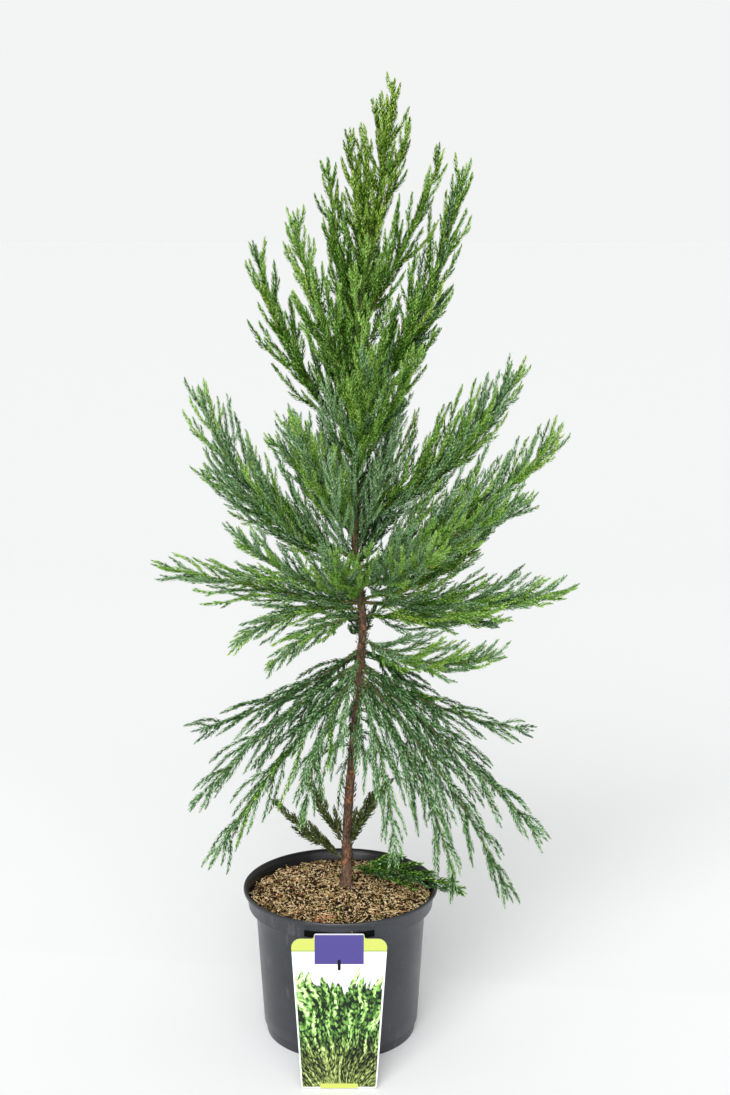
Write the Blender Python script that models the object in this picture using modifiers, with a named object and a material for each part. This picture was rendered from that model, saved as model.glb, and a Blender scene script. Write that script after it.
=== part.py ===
"""A young Japanese cedar in a round nursery pot, with a plain plant tag, at its real size.

Metres, +Z up. The origin is the middle of the pot's flat underside. Looking along +Y shows the
front, with +X to the right. Each bough is a row of real sizes, and its limb, its stem and its
side shoots are worked out from that row by one seeded rule.
"""

import math
import random
from typing import NamedTuple

import bmesh
import bpy
from mathutils import Matrix, Vector
from mathutils.bvhtree import BVHTree

CM = 0.01
GAP = 0.0003

# The pot, in metres: a flared band with a lip on top, a tapering body and a recessed foot
POT_HEIGHT = 0.1765
RIM_RADIUS = 0.1128
LIP_DEPTH = 0.0045
BAND_TOP_RADIUS = 0.1090
BAND_BOTTOM_RADIUS = 0.1070
BAND_BOTTOM = 0.1545
BODY_TOP = 0.1505
BODY_TOP_RADIUS = 0.0985
BODY_BOTTOM_RADIUS = 0.0902
FOOT_HEIGHT = 0.013
FOOT_RADIUS = 0.0870
FOOT_STEP = 0.0012
EDGE_BREAK = 0.0006
WALL = 0.0018
FLOOR = 0.0030
TURN_STEPS = 32

# The slot in the band that the tag hangs from
SLOT_WIDTH = 0.078
SLOT_BOTTOM = 0.1560
SLOT_TOP = 0.1645
CUTTER_DEPTH = 0.024
CUTTER_STANDS_OUT = 0.009

# The potting mix: a low mound, flat in the middle where the trunk stands
MIX_EDGE_HEIGHT = 0.1635
MIX_EDGE_RADIUS = 0.1074
MIX_TOP = 0.1685
MIX_FLAT_RADIUS = 0.034
MIX_SHOULDER_RADIUS = 0.082
MIX_SHOULDER_DROP = 0.0024

# The plant tag: a tapered card that leans out from the slot
TAG_TOP_WIDTH = 0.106
TAG_BOTTOM_WIDTH = 0.083
TAG_LENGTH = 0.1624
TAG_TAB_WIDTH = 0.056
TAG_TAB_HEIGHT = 0.0055
TAG_CORNER = 0.010
TAG_THICKNESS = 0.0009
TAG_LEAN = 14.8
TAG_FOOT_CLEARANCE = 0.001
TAG_HOLE_WIDTH = 0.0034
TAG_HOLE_LENGTH = 0.0120
TAG_HOLE_DROP = 0.0386
TONGUE_WIDTH = 0.030
TONGUE_THICKNESS = 0.0020

# The trunk: its course in centimetres (height above the mix, x, y), its girth and its flare
TRUNK_COURSE = (
    (0.03, 0.62, 1.5),
    (8.6, 0.85, 1.5),
    (17.6, 1.55, 1.5),
    (25.6, 2.15, 1.5),
    (31.6, 2.60, 1.5),
    (40.6, 1.75, 1.5),
    (49.6, 1.85, 1.5),
    (65.6, 2.20, 1.5),
    (72.1, 3.00, 1.4),
    (81.6, 4.60, 1.2),
    (91.6, 6.05, 1.0),
)
TRUNK_BASE_RADIUS = 0.0055
TRUNK_TIP_RADIUS = 0.0009
TRUNK_TAPER = 0.75
TRUNK_TOP = MIX_TOP + 0.791
FLARE_RADIUS = 0.0035
FLARE_HEIGHT = 0.012
TRUNK_SIDES = 10
TRUNK_RINGS = 22
FLARE_RINGS = (0.0, 0.004, 0.010, 0.020)

# Limbs, stems and shoots: a shoot is a slim core whose needles stand out in whorls
LIMB_GIRTH = 0.0075
LIMB_SIDES = 6
SHOOT_SIDES = 3
TIP_RADIUS = 0.0004
SHOOT_CORE = 0.0012
SHOOT_SPREAD = 0.0072
SHORTEST_SPREAD = 0.6
WHORL_LENGTH = 0.038
WHORL_PLACE = 0.80
LAST_WHORL_PLACE = 0.55
LAST_WHORL_SPREAD = 0.75
STEM_WHORL_LENGTH = 0.050
CLEARANCE = 0.0004
TRUNK_CLEARANCE = 0.0008
SHARES = (1.0, 0.82, 0.64, 0.46)

# How side shoots stand on their bough: a spiral, flattened to a spray
GOLDEN_TURN = 137.5
FLATTEN = 0.62


class Bough(NamedTuple):
    """One bough, in centimetres and degrees."""

    name: str
    height: float  # above the mix, where its line meets the trunk's axis
    azimuth: float  # from +X, anticlockwise from above: 180 is left, 270 is the front
    length: float  # along the limb and its leading shoot
    rise: float  # slope where it leaves the trunk
    finish: float  # slope at its tip
    bare: float  # share of the length that carries no needles
    shoots: int  # side shoots
    reach: float  # longest side shoot, as a share of the length
    lift: float  # how far the side shoots turn up, or hang where it is below 0


BOUGHS = (
    Bough("foot_left", 3.1, 180, 11.4, 36, 46, 0.10, 7, 0.36, 0.3),
    Bough("foot_upright", 4.6, 152, 10.5, 50, 66, 0.10, 6, 0.36, 0.3),
    Bough("foot_right", 4.1, 8, 10.4, 74, 42, 0.10, 7, 0.34, 0.3),
    Bough("rim_right", 2.2, -16, 14.6, 8, -20, 0.08, 8, 0.36, 0.0),
    Bough("low_left", 28.8, 167, 23.8, -40, -18, 0.24, 8, 0.38, -0.2),
    Bough("low_left_sweep", 27.0, 188, 26.0, -30, -50, 0.28, 9, 0.36, -0.4),
    Bough("low_left_hanging", 25.4, 206, 27.6, -36, -58, 0.26, 9, 0.36, -0.6),
    Bough("low_left_front", 26.2, 238, 20.0, -22, -84, 0.26, 8, 0.36, -0.6),
    Bough("low_back_left", 28.0, 124, 21.0, -24, -62, 0.24, 8, 0.38, -0.4),
    Bough("low_right", 27.2, 14, 23.6, -40, -10, 0.24, 8, 0.38, -0.2),
    Bough("low_right_sweep", 26.6, -5, 29.8, -40, -46, 0.24, 10, 0.34, -0.4),
    Bough("low_right_hanging", 25.8, -14, 32.0, -44, -66, 0.24, 10, 0.34, -0.8),
    Bough("low_right_inner", 25.2, -28, 27.5, -46, -78, 0.26, 9, 0.34, -0.8),
    Bough("low_right_front", 24.6, -62, 21.5, -44, -86, 0.26, 8, 0.34, -0.8),
    Bough("low_back_right", 28.6, 52, 20.0, -28, -50, 0.22, 8, 0.38, -0.2),
    Bough("low_back", 29.8, 98, 20.0, 6, 16, 0.20, 9, 0.40, 0.1),
    Bough("mid_left_long", 34.0, 181, 23.4, 8, 14, 0.30, 9, 0.38, 0.0),
    Bough("mid_left_low", 33.2, 199, 16.2, 16, -38, 0.26, 8, 0.40, -0.2),
    Bough("mid_left_lowest", 32.6, 222, 15.0, 4, -36, 0.22, 7, 0.40, -0.2),
    Bough("mid_left_front", 34.4, 217, 19.8, 18, 42, 0.30, 9, 0.42, 0.4),
    Bough("mid_left_high", 37.3, 180, 28.5, 27, 73, 0.24, 11, 0.44, 0.8),
    Bough("mid_left_back", 39.1, 152, 22.8, 18, 28, 0.26, 9, 0.40, 0.3),
    Bough("mid_left_fan", 41.9, 226, 17.4, 50, 64, 0.26, 9, 0.44, 0.6),
    Bough("mid_left_up", 43.0, 163, 14.2, 44, 42, 0.22, 8, 0.42, 0.5),
    Bough("mid_right_high", 43.0, 10, 26.0, 27, 58, 0.26, 11, 0.42, 0.6),
    Bough("mid_right_long", 37.3, -4, 28.2, 25, 46, 0.26, 10, 0.40, 0.6),
    Bough("mid_right_mid", 38.1, -30, 23.8, 19, 30, 0.26, 9, 0.40, 0.4),
    Bough("mid_right_front", 36.0, -64, 20.0, 18, 24, 0.24, 9, 0.42, 0.4),
    Bough("mid_right_back", 34.4, 36, 23.4, 8, 34, 0.24, 9, 0.40, 0.6),
    Bough("mid_right_low", 34.2, -7, 24.0, -4, 14, 0.28, 9, 0.38, 0.1),
    Bough("mid_right_lowest", 32.6, 26, 18.5, -6, -12, 0.26, 8, 0.38, 0.0),
    Bough("mid_right_droop", 30.0, -34, 19.0, -22, 28, 0.24, 8, 0.38, 0.2),
    Bough("mid_front", 35.1, 258, 17.5, 18, 38, 0.20, 9, 0.42, 0.5),
    Bough("mid_back", 38.1, 80, 21.0, 22, 40, 0.20, 10, 0.42, 0.5),
    Bough("mid_back_left", 41.6, 122, 20.5, 26, 48, 0.22, 9, 0.42, 0.5),
    Bough("high_right", 54.4, -12, 31.0, 56, 78, 0.20, 12, 0.36, 0.5),
    Bough("high_right_back", 56.2, 34, 18.0, 42, 50, 0.20, 9, 0.42, 0.5),
    Bough("high_right_front", 51.1, -52, 17.0, 40, 58, 0.20, 9, 0.42, 0.5),
    Bough("high_left", 52.7, 182, 24.5, 44, 82, 0.24, 10, 0.40, 0.6),
    Bough("high_left_front", 57.2, 220, 22.4, 56, 78, 0.20, 10, 0.40, 0.5),
    Bough("high_back", 50.1, 96, 23.5, 40, 70, 0.20, 10, 0.42, 0.5),
    Bough("high_front", 47.6, 276, 20.0, 42, 68, 0.20, 10, 0.42, 0.5),
    Bough("top_right", 64.4, -26, 22.2, 58, 68, 0.18, 9, 0.36, 0.4),
    Bough("top_left", 64.1, 192, 19.6, 74, 86, 0.18, 9, 0.36, 0.4),
    Bough("top_back", 64.6, 84, 20.0, 54, 76, 0.16, 9, 0.40, 0.4),
    Bough("crown_left", 72.1, 186, 14.5, 78, 88, 0.14, 7, 0.38, 0.4),
    Bough("crown_right", 74.1, -24, 14.0, 66, 74, 0.14, 7, 0.38, 0.4),
)
LIMBED = (
    "low_left_sweep",
    "low_left_front",
    "low_right_hanging",
    "mid_left_long",
    "mid_left_high",
    "mid_right_high",
    "mid_right_long",
    "mid_right_low",
)
LEADER = Bough("leader", 79.1, 0, 12.7, 80, 80, 0.0, 9, 0.60, 0.5)


def heading(azimuth, slope):
    """The unit vector of an azimuth and a slope in degrees."""
    turn = math.radians(azimuth)
    up = math.radians(slope)
    return Vector((math.cos(turn) * math.cos(up), math.sin(turn) * math.cos(up), math.sin(up)))


def trunk_point(height):
    """The trunk's axis at a height in metres, smooth through its course."""
    z = (height - MIX_TOP) / CM
    last = len(TRUNK_COURSE) - 2
    k = 0
    while k < last and z > TRUNK_COURSE[k + 1][0]:
        k += 1
    before = TRUNK_COURSE[max(k - 1, 0)]
    start = TRUNK_COURSE[k]
    end = TRUNK_COURSE[k + 1]
    after = TRUNK_COURSE[min(k + 2, last + 1)]
    span = end[0] - start[0]
    t = (z - start[0]) / span
    place = [0.0, 0.0]
    for axis in (1, 2):
        slope_in = (end[axis] - before[axis]) / (end[0] - before[0]) * span
        slope_out = (after[axis] - start[axis]) / (after[0] - start[0]) * span
        place[axis - 1] = (
            (2 * t**3 - 3 * t**2 + 1) * start[axis]
            + (t**3 - 2 * t**2 + t) * slope_in
            + (3 * t**2 - 2 * t**3) * end[axis]
            + (t**3 - t**2) * slope_out
        )
    return Vector((place[0] * CM, place[1] * CM, height))


def trunk_radius(height):
    """The trunk's radius at a height in metres, with its flare at the foot."""
    foot = MIX_TOP + TRUNK_COURSE[0][0] * CM
    top = MIX_TOP + TRUNK_COURSE[-1][0] * CM
    t = min(max((height - foot) / (top - foot), 0.0), 1.0)
    girth = TRUNK_TIP_RADIUS + (TRUNK_BASE_RADIUS - TRUNK_TIP_RADIUS) * (1 - t) ** TRUNK_TAPER
    return girth + FLARE_RADIUS * math.exp(-(height - foot) / FLARE_HEIGHT * 2)


def bough_path(bough, steps=40):
    """Points along a bough, from the trunk's axis to its tip, at even spacing."""
    points = [trunk_point(MIX_TOP + bough.height * CM)]
    for i in range(steps):
        s = (i + 0.5) / steps
        slope = bough.rise + (bough.finish - bough.rise) * s
        points.append(points[-1] + heading(bough.azimuth, slope) * (bough.length * CM / steps))
    return points


def leader_path(steps=20):
    """Points up the leading shoot, from the trunk's top to the tree's tip."""
    top = MIX_TOP + TRUNK_COURSE[-1][0] * CM
    return [trunk_point(TRUNK_TOP + (top - TRUNK_TOP) * i / steps) for i in range(steps + 1)]


def along(path, s):
    """The point at share s of a path with even spacing, and the path's direction there."""
    place = min(max(s, 0.0), 1.0) * (len(path) - 1)
    k = min(int(place), len(path) - 2)
    point = path[k].lerp(path[k + 1], place - k)
    return point, (path[k + 1] - path[k]).normalized()


def side_shoots(path, bough, length, rng, steps=12):
    """The side shoots of a path: each leaves in its turn of a spiral and bends forward."""
    shoots = []
    up = Vector((0, 0, 1))
    for i in range(bough.shoots):
        t = (i + 0.35 + 0.3 * rng.random()) / bough.shoots
        s = bough.bare + (1 - bough.bare) * t * 0.93
        roll = math.radians(GOLDEN_TURN * i + 30 * (rng.random() - 0.5))
        leave = math.radians(44 + 14 * (rng.random() - 0.5))
        reach = bough.reach * length * (1 - 0.72 * t) * (0.8 + 0.35 * rng.random())
        root, forward = along(path, s)
        side = forward.cross(up)
        if side.length < 0.2:
            side = forward.cross(Vector((0, 1, 0)))
        side.normalize()
        across = forward.cross(side)
        out = side * math.cos(roll) - across * (math.sin(roll) * FLATTEN)
        start = forward * math.cos(leave) + out.normalized() * math.sin(leave)
        aim = (forward + up * bough.lift + out * 0.25).normalized()
        points = [root]
        for k in range(steps):
            bend = ((k + 0.5) / steps) ** 0.8
            points.append(points[-1] + start.lerp(aim, bend).normalized() * (reach / steps))
        shoots.append(points)
    return shoots


def empty_scene():
    """Remove whatever the file holds."""
    for item in list(bpy.data.objects):
        bpy.data.objects.remove(item)


def new_collection(name):
    group = bpy.data.collections.new(name)
    bpy.context.scene.collection.children.link(group)
    return group


def plain_material(name, color, roughness):
    """A Principled material of one colour."""
    material = bpy.data.materials.new(name)
    material.use_nodes = True
    shader = material.node_tree.nodes["Principled BSDF"]
    shader.inputs["Base Color"].default_value = (*color, 1.0)
    shader.inputs["Roughness"].default_value = roughness
    return material


def add_object(name, data, group):
    item = bpy.data.objects.new(name, data)
    group.objects.link(item)
    return item


def add_guide(name, data, group):
    """An object that only helps to make others, and is never part of the model."""
    item = add_object(name, data, group)
    item.hide_render = True
    item.display_type = "WIRE"
    return item


def guide_box(name, size, middle, group):
    """A box that cuts or joins another piece."""
    bpy.ops.mesh.primitive_cube_add(size=1, location=middle)
    box = bpy.context.object
    box.name = name
    box.scale = size
    for other in box.users_collection:
        other.objects.unlink(box)
    group.objects.link(box)
    box.hide_render = True
    box.display_type = "WIRE"
    return box


def merged_mesh(item, name):
    """An object's evaluated mesh with its caps welded and its faces pointing out."""
    graph = bpy.context.evaluated_depsgraph_get()
    mesh = bpy.data.meshes.new_from_object(item.evaluated_get(graph), depsgraph=graph)
    mesh.name = name
    work = bmesh.new()
    work.from_mesh(mesh)
    bmesh.ops.remove_doubles(work, verts=work.verts, dist=1e-6)
    bmesh.ops.recalc_face_normals(work, faces=work.faces)
    work.to_mesh(mesh)
    work.free()
    return mesh


def finish(item, mesh, material, smooth_angle=None):
    """Give an object its final mesh, its material and, on round pieces, smooth shading."""
    item.modifiers.clear()
    item.data = mesh
    mesh.materials.clear()
    mesh.materials.append(material)
    if smooth_angle:
        mesh.shade_smooth()
        mesh.set_sharp_from_angle(angle=math.radians(smooth_angle))


def spun(name, profile, group):
    """A turned solid: an (r, z) profile that runs from the axis up the inside and down the outside."""
    line = bpy.data.meshes.new(name + "_profile")
    points = [(r, 0, z) for r, z in profile]
    line.from_pydata(points, [(i, i + 1) for i in range(len(points) - 1)], [])
    item = add_object(name, line, group)
    screw = item.modifiers.new("Turn", "SCREW")
    screw.steps = TURN_STEPS
    screw.render_steps = TURN_STEPS
    screw.use_merge_vertices = True
    screw.merge_threshold = 0.0001
    return item


def pot(group, guides, material):
    """The pot: one turned wall with its band, lip and foot, and the tag's slot cut in the band."""
    lip_bottom = POT_HEIGHT - LIP_DEPTH
    profile = (
        (0, FLOOR),
        (FOOT_RADIUS - WALL, FLOOR),
        (BODY_BOTTOM_RADIUS - WALL, FOOT_HEIGHT),
        (BODY_TOP_RADIUS - WALL, BODY_TOP),
        (BAND_BOTTOM_RADIUS - WALL, BAND_BOTTOM),
        (BAND_TOP_RADIUS - WALL, lip_bottom),
        (RIM_RADIUS - WALL - EDGE_BREAK, POT_HEIGHT),
        (RIM_RADIUS - EDGE_BREAK, POT_HEIGHT),
        (RIM_RADIUS, POT_HEIGHT - EDGE_BREAK),
        (RIM_RADIUS, lip_bottom),
        (BAND_TOP_RADIUS, lip_bottom - FOOT_STEP),
        (BAND_BOTTOM_RADIUS, BAND_BOTTOM),
        (BODY_TOP_RADIUS, BODY_TOP),
        (BODY_BOTTOM_RADIUS, FOOT_HEIGHT),
        (FOOT_RADIUS + FOOT_STEP, FOOT_HEIGHT - FOOT_STEP),
        (FOOT_RADIUS, EDGE_BREAK),
        (FOOT_RADIUS - EDGE_BREAK, 0),
        (0, 0),
    )
    item = spun("pot", profile, group)
    cutter = guide_box(
        "slot_cutter",
        (SLOT_WIDTH, CUTTER_DEPTH, SLOT_TOP - SLOT_BOTTOM),
        (0, CUTTER_DEPTH / 2 - RIM_RADIUS - CUTTER_STANDS_OUT, (SLOT_TOP + SLOT_BOTTOM) / 2),
        guides,
    )
    cut = item.modifiers.new("Slot", "BOOLEAN")
    cut.operation = "DIFFERENCE"
    cut.object = cutter
    finish(item, merged_mesh(item, "pot"), material, 35)
    return item


def potting_mix(group, material):
    """The potting mix, clear of the pot's wall, with a low mound that is flat in the middle."""
    inset = WALL + GAP
    profile = (
        (0, MIX_TOP),
        (MIX_FLAT_RADIUS, MIX_TOP),
        (MIX_SHOULDER_RADIUS, MIX_TOP - MIX_SHOULDER_DROP),
        (MIX_EDGE_RADIUS - inset, MIX_EDGE_HEIGHT),
        (BAND_BOTTOM_RADIUS - inset, BAND_BOTTOM),
        (BODY_TOP_RADIUS - inset, BODY_TOP),
        (BODY_BOTTOM_RADIUS - inset, FOOT_HEIGHT),
        (FOOT_RADIUS - inset, FLOOR + GAP),
        (0, FLOOR + GAP),
    )
    item = spun("potting_mix", profile, group)
    finish(item, merged_mesh(item, "potting_mix"), material, 50)
    return item


def arc(center, radius, start, end, count):
    """Points round an arc, its ends included, from one angle to another in degrees."""
    points = []
    for i in range(count + 1):
        turn = math.radians(start + (end - start) * i / count)
        points.append((center[0] + radius * math.cos(turn), center[1] + radius * math.sin(turn)))
    return points


def tag_outline():
    """The card's outline from its foot, anticlockwise, with round shoulders and a raised tab."""
    top = TAG_LENGTH
    half_top = TAG_TOP_WIDTH / 2
    half_foot = TAG_BOTTOM_WIDTH / 2
    half_tab = TAG_TAB_WIDTH / 2
    bend = TAG_TAB_HEIGHT * 0.45
    right = [(half_foot, 0.0)]
    right += arc((half_top - TAG_CORNER, top - TAG_CORNER), TAG_CORNER, 0, 90, 5)
    right += arc((half_tab + bend, top + bend), bend, 270, 180, 3)
    right += arc((half_tab - bend, top + TAG_TAB_HEIGHT - bend), bend, 0, 90, 3)
    return right + [(-x, y) for x, y in reversed(right)]


def add_loop(curve, points):
    """A closed flat spline through the points."""
    spline = curve.splines.new("POLY")
    spline.points.add(len(points) - 1)
    for corner, (x, y) in zip(spline.points, points):
        corner.co = (x, y, 0, 1)
    spline.use_cyclic_u = True


def plant_tag(group, guides, material):
    """The tag: a card with a hanging hole, leaning out from the slot, and its tongue in it."""
    curve = bpy.data.curves.new("tag_outline", "CURVE")
    curve.dimensions = "2D"
    curve.fill_mode = "BOTH"
    curve.extrude = TAG_THICKNESS / 2
    add_loop(curve, tag_outline())
    hole = TAG_LENGTH + TAG_TAB_HEIGHT - TAG_HOLE_DROP
    half = TAG_HOLE_WIDTH / 2
    straight = TAG_HOLE_LENGTH - TAG_HOLE_WIDTH
    add_loop(curve, arc((0, hole), half, 0, -180, 5) + arc((0, hole + straight), half, 180, 0, 5))
    lean = math.radians(TAG_LEAN)
    reach = TAG_LENGTH + TAG_TAB_HEIGHT
    foot_z = TAG_FOOT_CLEARANCE + TAG_THICKNESS / 2 * math.sin(lean)
    top_z = foot_z + reach * math.cos(lean)
    share = (top_z - BAND_BOTTOM) / (POT_HEIGHT - LIP_DEPTH - BAND_BOTTOM)
    band = BAND_BOTTOM_RADIUS + (BAND_TOP_RADIUS - BAND_BOTTOM_RADIUS) * share
    top_y = -(band + GAP + TAG_THICKNESS / 2 * math.cos(lean))
    card = add_object("tag_card", curve, guides)
    card.matrix_world = Matrix.Translation(
        (0, top_y - reach * math.sin(lean), foot_z)
    ) @ Matrix.Rotation(math.pi / 2 - lean, 4, "X")
    bpy.context.view_layer.update()
    mesh = merged_mesh(card, "plant_tag")
    mesh.transform(card.matrix_world)
    bpy.data.objects.remove(card)
    item = add_object("plant_tag", mesh, group)
    height = SLOT_BOTTOM + GAP + TONGUE_THICKNESS / 2
    face_y = top_y - (top_z - height) * math.tan(lean)
    end_y = -(BAND_BOTTOM_RADIUS - WALL + GAP)
    tongue = guide_box(
        "tag_tongue",
        (TONGUE_WIDTH, end_y - face_y, TONGUE_THICKNESS),
        (0, (face_y + end_y) / 2, height),
        guides,
    )
    join = item.modifiers.new("Tongue", "BOOLEAN")
    join.operation = "UNION"
    join.object = tongue
    finish(item, merged_mesh(item, "plant_tag"), material)
    return item


def section(sides, guides):
    """A closed ring of unit radius, the cross-section that tubes of so many sides follow."""
    name = "section_%d" % sides
    if name in bpy.data.objects:
        return bpy.data.objects[name]
    curve = bpy.data.curves.new(name, "CURVE")
    curve.dimensions = "2D"
    curve.fill_mode = "NONE"
    points = [
        (math.cos(2 * math.pi * i / sides), math.sin(2 * math.pi * i / sides))
        for i in range(sides)
    ]
    add_loop(curve, points)
    return add_guide(name, curve, guides)


def tube_mesh(name, points, radii, sides, guides):
    """A closed tube along points, whose radius changes from point to point."""
    curve = bpy.data.curves.new(name, "CURVE")
    curve.dimensions = "3D"
    curve.bevel_mode = "OBJECT"
    curve.bevel_object = section(sides, guides)
    curve.use_fill_caps = True
    spline = curve.splines.new("POLY")
    spline.points.add(len(points) - 1)
    for corner, point, radius in zip(spline.points, points, radii):
        corner.co = (*point, 1)
        corner.radius = radius
    item = add_object(name, curve, guides)
    mesh = merged_mesh(item, name)
    bpy.data.objects.remove(item)
    bpy.data.curves.remove(curve)
    return mesh


class Space:
    """The room taken so far. A new shape is tested against it with CLEARANCE to spare."""

    def __init__(self):
        self.trees = []

    @staticmethod
    def tree(mesh, swell):
        points = [v.co + v.normal * swell for v in mesh.vertices]
        low = [min(p[k] for p in points) for k in range(3)]
        high = [max(p[k] for p in points) for k in range(3)]
        faces = [tuple(p.vertices) for p in mesh.polygons]
        return low, high, BVHTree.FromPolygons(points, faces)

    def take(self, mesh, owner):
        self.trees.append((owner, *self.tree(mesh, 0)))

    def meets(self, mesh, owner, spare=CLEARANCE):
        """The first other owner whose shape the mesh would touch, or None."""
        low, high, tree = self.tree(mesh, spare)
        for other, other_low, other_high, other_tree in self.trees:
            if other == owner:
                continue
            if any(low[k] > other_high[k] or high[k] < other_low[k] for k in range(3)):
                continue
            if tree.overlap(other_tree):
                return other
        return None


def trunk(group, guides, material):
    """The trunk: a flat cut at the mix, a flare, and one taper to where the leader starts."""
    foot = MIX_TOP + GAP
    heights = [foot + rise for rise in FLARE_RINGS]
    start = heights[-1]
    heights += [
        start + (TRUNK_TOP - start) * (i + 1) / TRUNK_RINGS for i in range(TRUNK_RINGS)
    ]
    points = [trunk_point(z) for z in heights]
    points[0] = Vector((points[1].x, points[1].y, foot))
    radii = [trunk_radius(z) for z in heights]
    mesh = tube_mesh("trunk", points, radii, TRUNK_SIDES, guides)
    item = add_object("trunk", mesh, group)
    finish(item, mesh, material, 60)
    return item


def stem_radius(bough, s):
    """The bare wood's radius at share s of a bough."""
    root = LIMB_GIRTH * bough.length * CM
    return TIP_RADIUS + (root - TIP_RADIUS) * (1 - s) ** 0.8


def gap_to(tree, points):
    """The least distance from points to a closed surface, below 0 where one is inside."""
    least = 1.0
    for point in points:
        place, normal, _, distance = tree.find_nearest(point)
        inside = (point - place).dot(normal) < 0
        least = min(least, -distance if inside else distance)
    return least


def seated(path, bough, trunk_tree, build):
    """Build a limb or stem from the first share of its path whose cut end clears the trunk."""
    step = 0.0002 / (bough.length * CM)
    first = 0.0
    while True:
        point, _ = along(path, first)
        if room_at(point) > max(stem_radius(bough, first), SHOOT_CORE) * 0.2:
            mesh, ends = build(first)
            corners = [v.co for v in mesh.vertices if (v.co - point).length < ends * 1.3]
            middles = [(p + q) / 2 for p in corners for q in corners]
            if gap_to(trunk_tree, middles) >= GAP:
                return mesh
            bpy.data.meshes.remove(mesh)
        first += step


def room_at(point):
    """How far a point lies outside the trunk."""
    if point.z > TRUNK_TOP:
        return 1.0
    axis = trunk_point(point.z)
    return math.hypot(point.x - axis.x, point.y - axis.y) - trunk_radius(point.z)


def toothed(path, first, core, spread, pitch):
    """Points and radii of a shoot whose needles stand out in forward-leaning whorls."""
    length = sum((path[i + 1] - path[i]).length for i in range(len(path) - 1)) * (1 - first)
    count = max(1, round(length / pitch))
    points = []
    radii = []
    for k in range(count):
        last = k == count - 1
        for place, wide in ((0.0, False), (LAST_WHORL_PLACE if last else WHORL_PLACE, True)):
            t = (k + place) / count
            point, _ = along(path, first + (1 - first) * t)
            slim = core(t)
            radius = slim
            if wide:
                fade = LAST_WHORL_SPREAD if last else 1.0
                radius = max(min(spread * fade, room_at(point) - TRUNK_CLEARANCE), slim)
            points.append(point)
            radii.append(radius)
    points.append(path[-1].copy())
    radii.append(TIP_RADIUS)
    return points, radii


def limb_mesh(bough, path, first, guides, rings=5):
    """A bare limb from share first of its bough to where its needles start."""
    shares = [first + (bough.bare - first) * i / rings for i in range(rings + 1)]
    points = [along(path, s)[0] for s in shares]
    radii = [stem_radius(bough, s) for s in shares]
    return tube_mesh(bough.name + "_limb", points, radii, LIMB_SIDES, guides), radii[0]


def stem_mesh(bough, path, first, guides):
    """A mass's stem from share first of its bough, with its own leading shoot's whorls."""
    start = max(bough.bare, first + 0.02)
    points, radii = toothed(
        path,
        start,
        lambda t: max(stem_radius(bough, start + (1 - start) * t), SHOOT_CORE),
        SHOOT_SPREAD,
        STEM_WHORL_LENGTH,
    )
    shares = [first]
    if start - first > 0.1:
        shares.append((first + start) / 2)
    bare_points = [along(path, s)[0] for s in shares]
    bare_radii = [max(stem_radius(bough, s), SHOOT_CORE) for s in shares]
    mesh = tube_mesh(
        bough.name, bare_points + points, bare_radii + radii, SHOOT_SIDES, guides
    )
    return mesh, bare_radii[0]


def shoot_mesh(name, path, share, guides):
    """A side shoot cut to a share of its length."""
    short = [along(path, share * i / 8)[0] for i in range(9)]
    points, radii = toothed(
        short,
        0.0,
        lambda t: SHOOT_CORE * (1 - 0.5 * t),
        SHOOT_SPREAD * (SHORTEST_SPREAD + (1 - SHORTEST_SPREAD) * share),
        WHORL_LENGTH,
    )
    return tube_mesh(name, points, radii, SHOOT_SIDES, guides)


def largest_island(mesh):
    """Keep the mesh's largest connected surface: sealed hollows and loose scraps go."""
    work = bmesh.new()
    work.from_mesh(mesh)
    work.verts.ensure_lookup_table()
    islands = []
    seen = set()
    for vert in work.verts:
        if vert.index in seen:
            continue
        seen.add(vert.index)
        todo = [vert]
        island = []
        while todo:
            here = todo.pop()
            island.append(here)
            for edge in here.link_edges:
                other = edge.other_vert(here)
                if other.index not in seen:
                    seen.add(other.index)
                    todo.append(other)
        islands.append(island)
    islands.sort(key=len)
    for island in islands[:-1]:
        bmesh.ops.delete(work, geom=island, context="VERTS")
    bmesh.ops.triangulate(work, faces=work.faces)
    work.to_mesh(mesh)
    work.free()


def fuse(name, meshes, group, material):
    """One solid from a stem and its shoots, by a single union on their collection."""
    operands = new_collection(name + "_shoots")
    for i, mesh in enumerate(meshes[1:]):
        add_guide("%s_shoot_%02d" % (name, i), mesh, operands)
    item = add_object(name, meshes[0], group)
    join = item.modifiers.new("Join", "BOOLEAN")
    join.operation = "UNION"
    join.operand_type = "COLLECTION"
    join.collection = operands
    join.solver = "MANIFOLD"
    mesh = merged_mesh(item, name)
    item.modifiers.clear()
    for other in list(operands.objects):
        bpy.data.objects.remove(other)
    bpy.data.collections.remove(operands)
    largest_island(mesh)
    finish(item, mesh, material)
    return item


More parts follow.
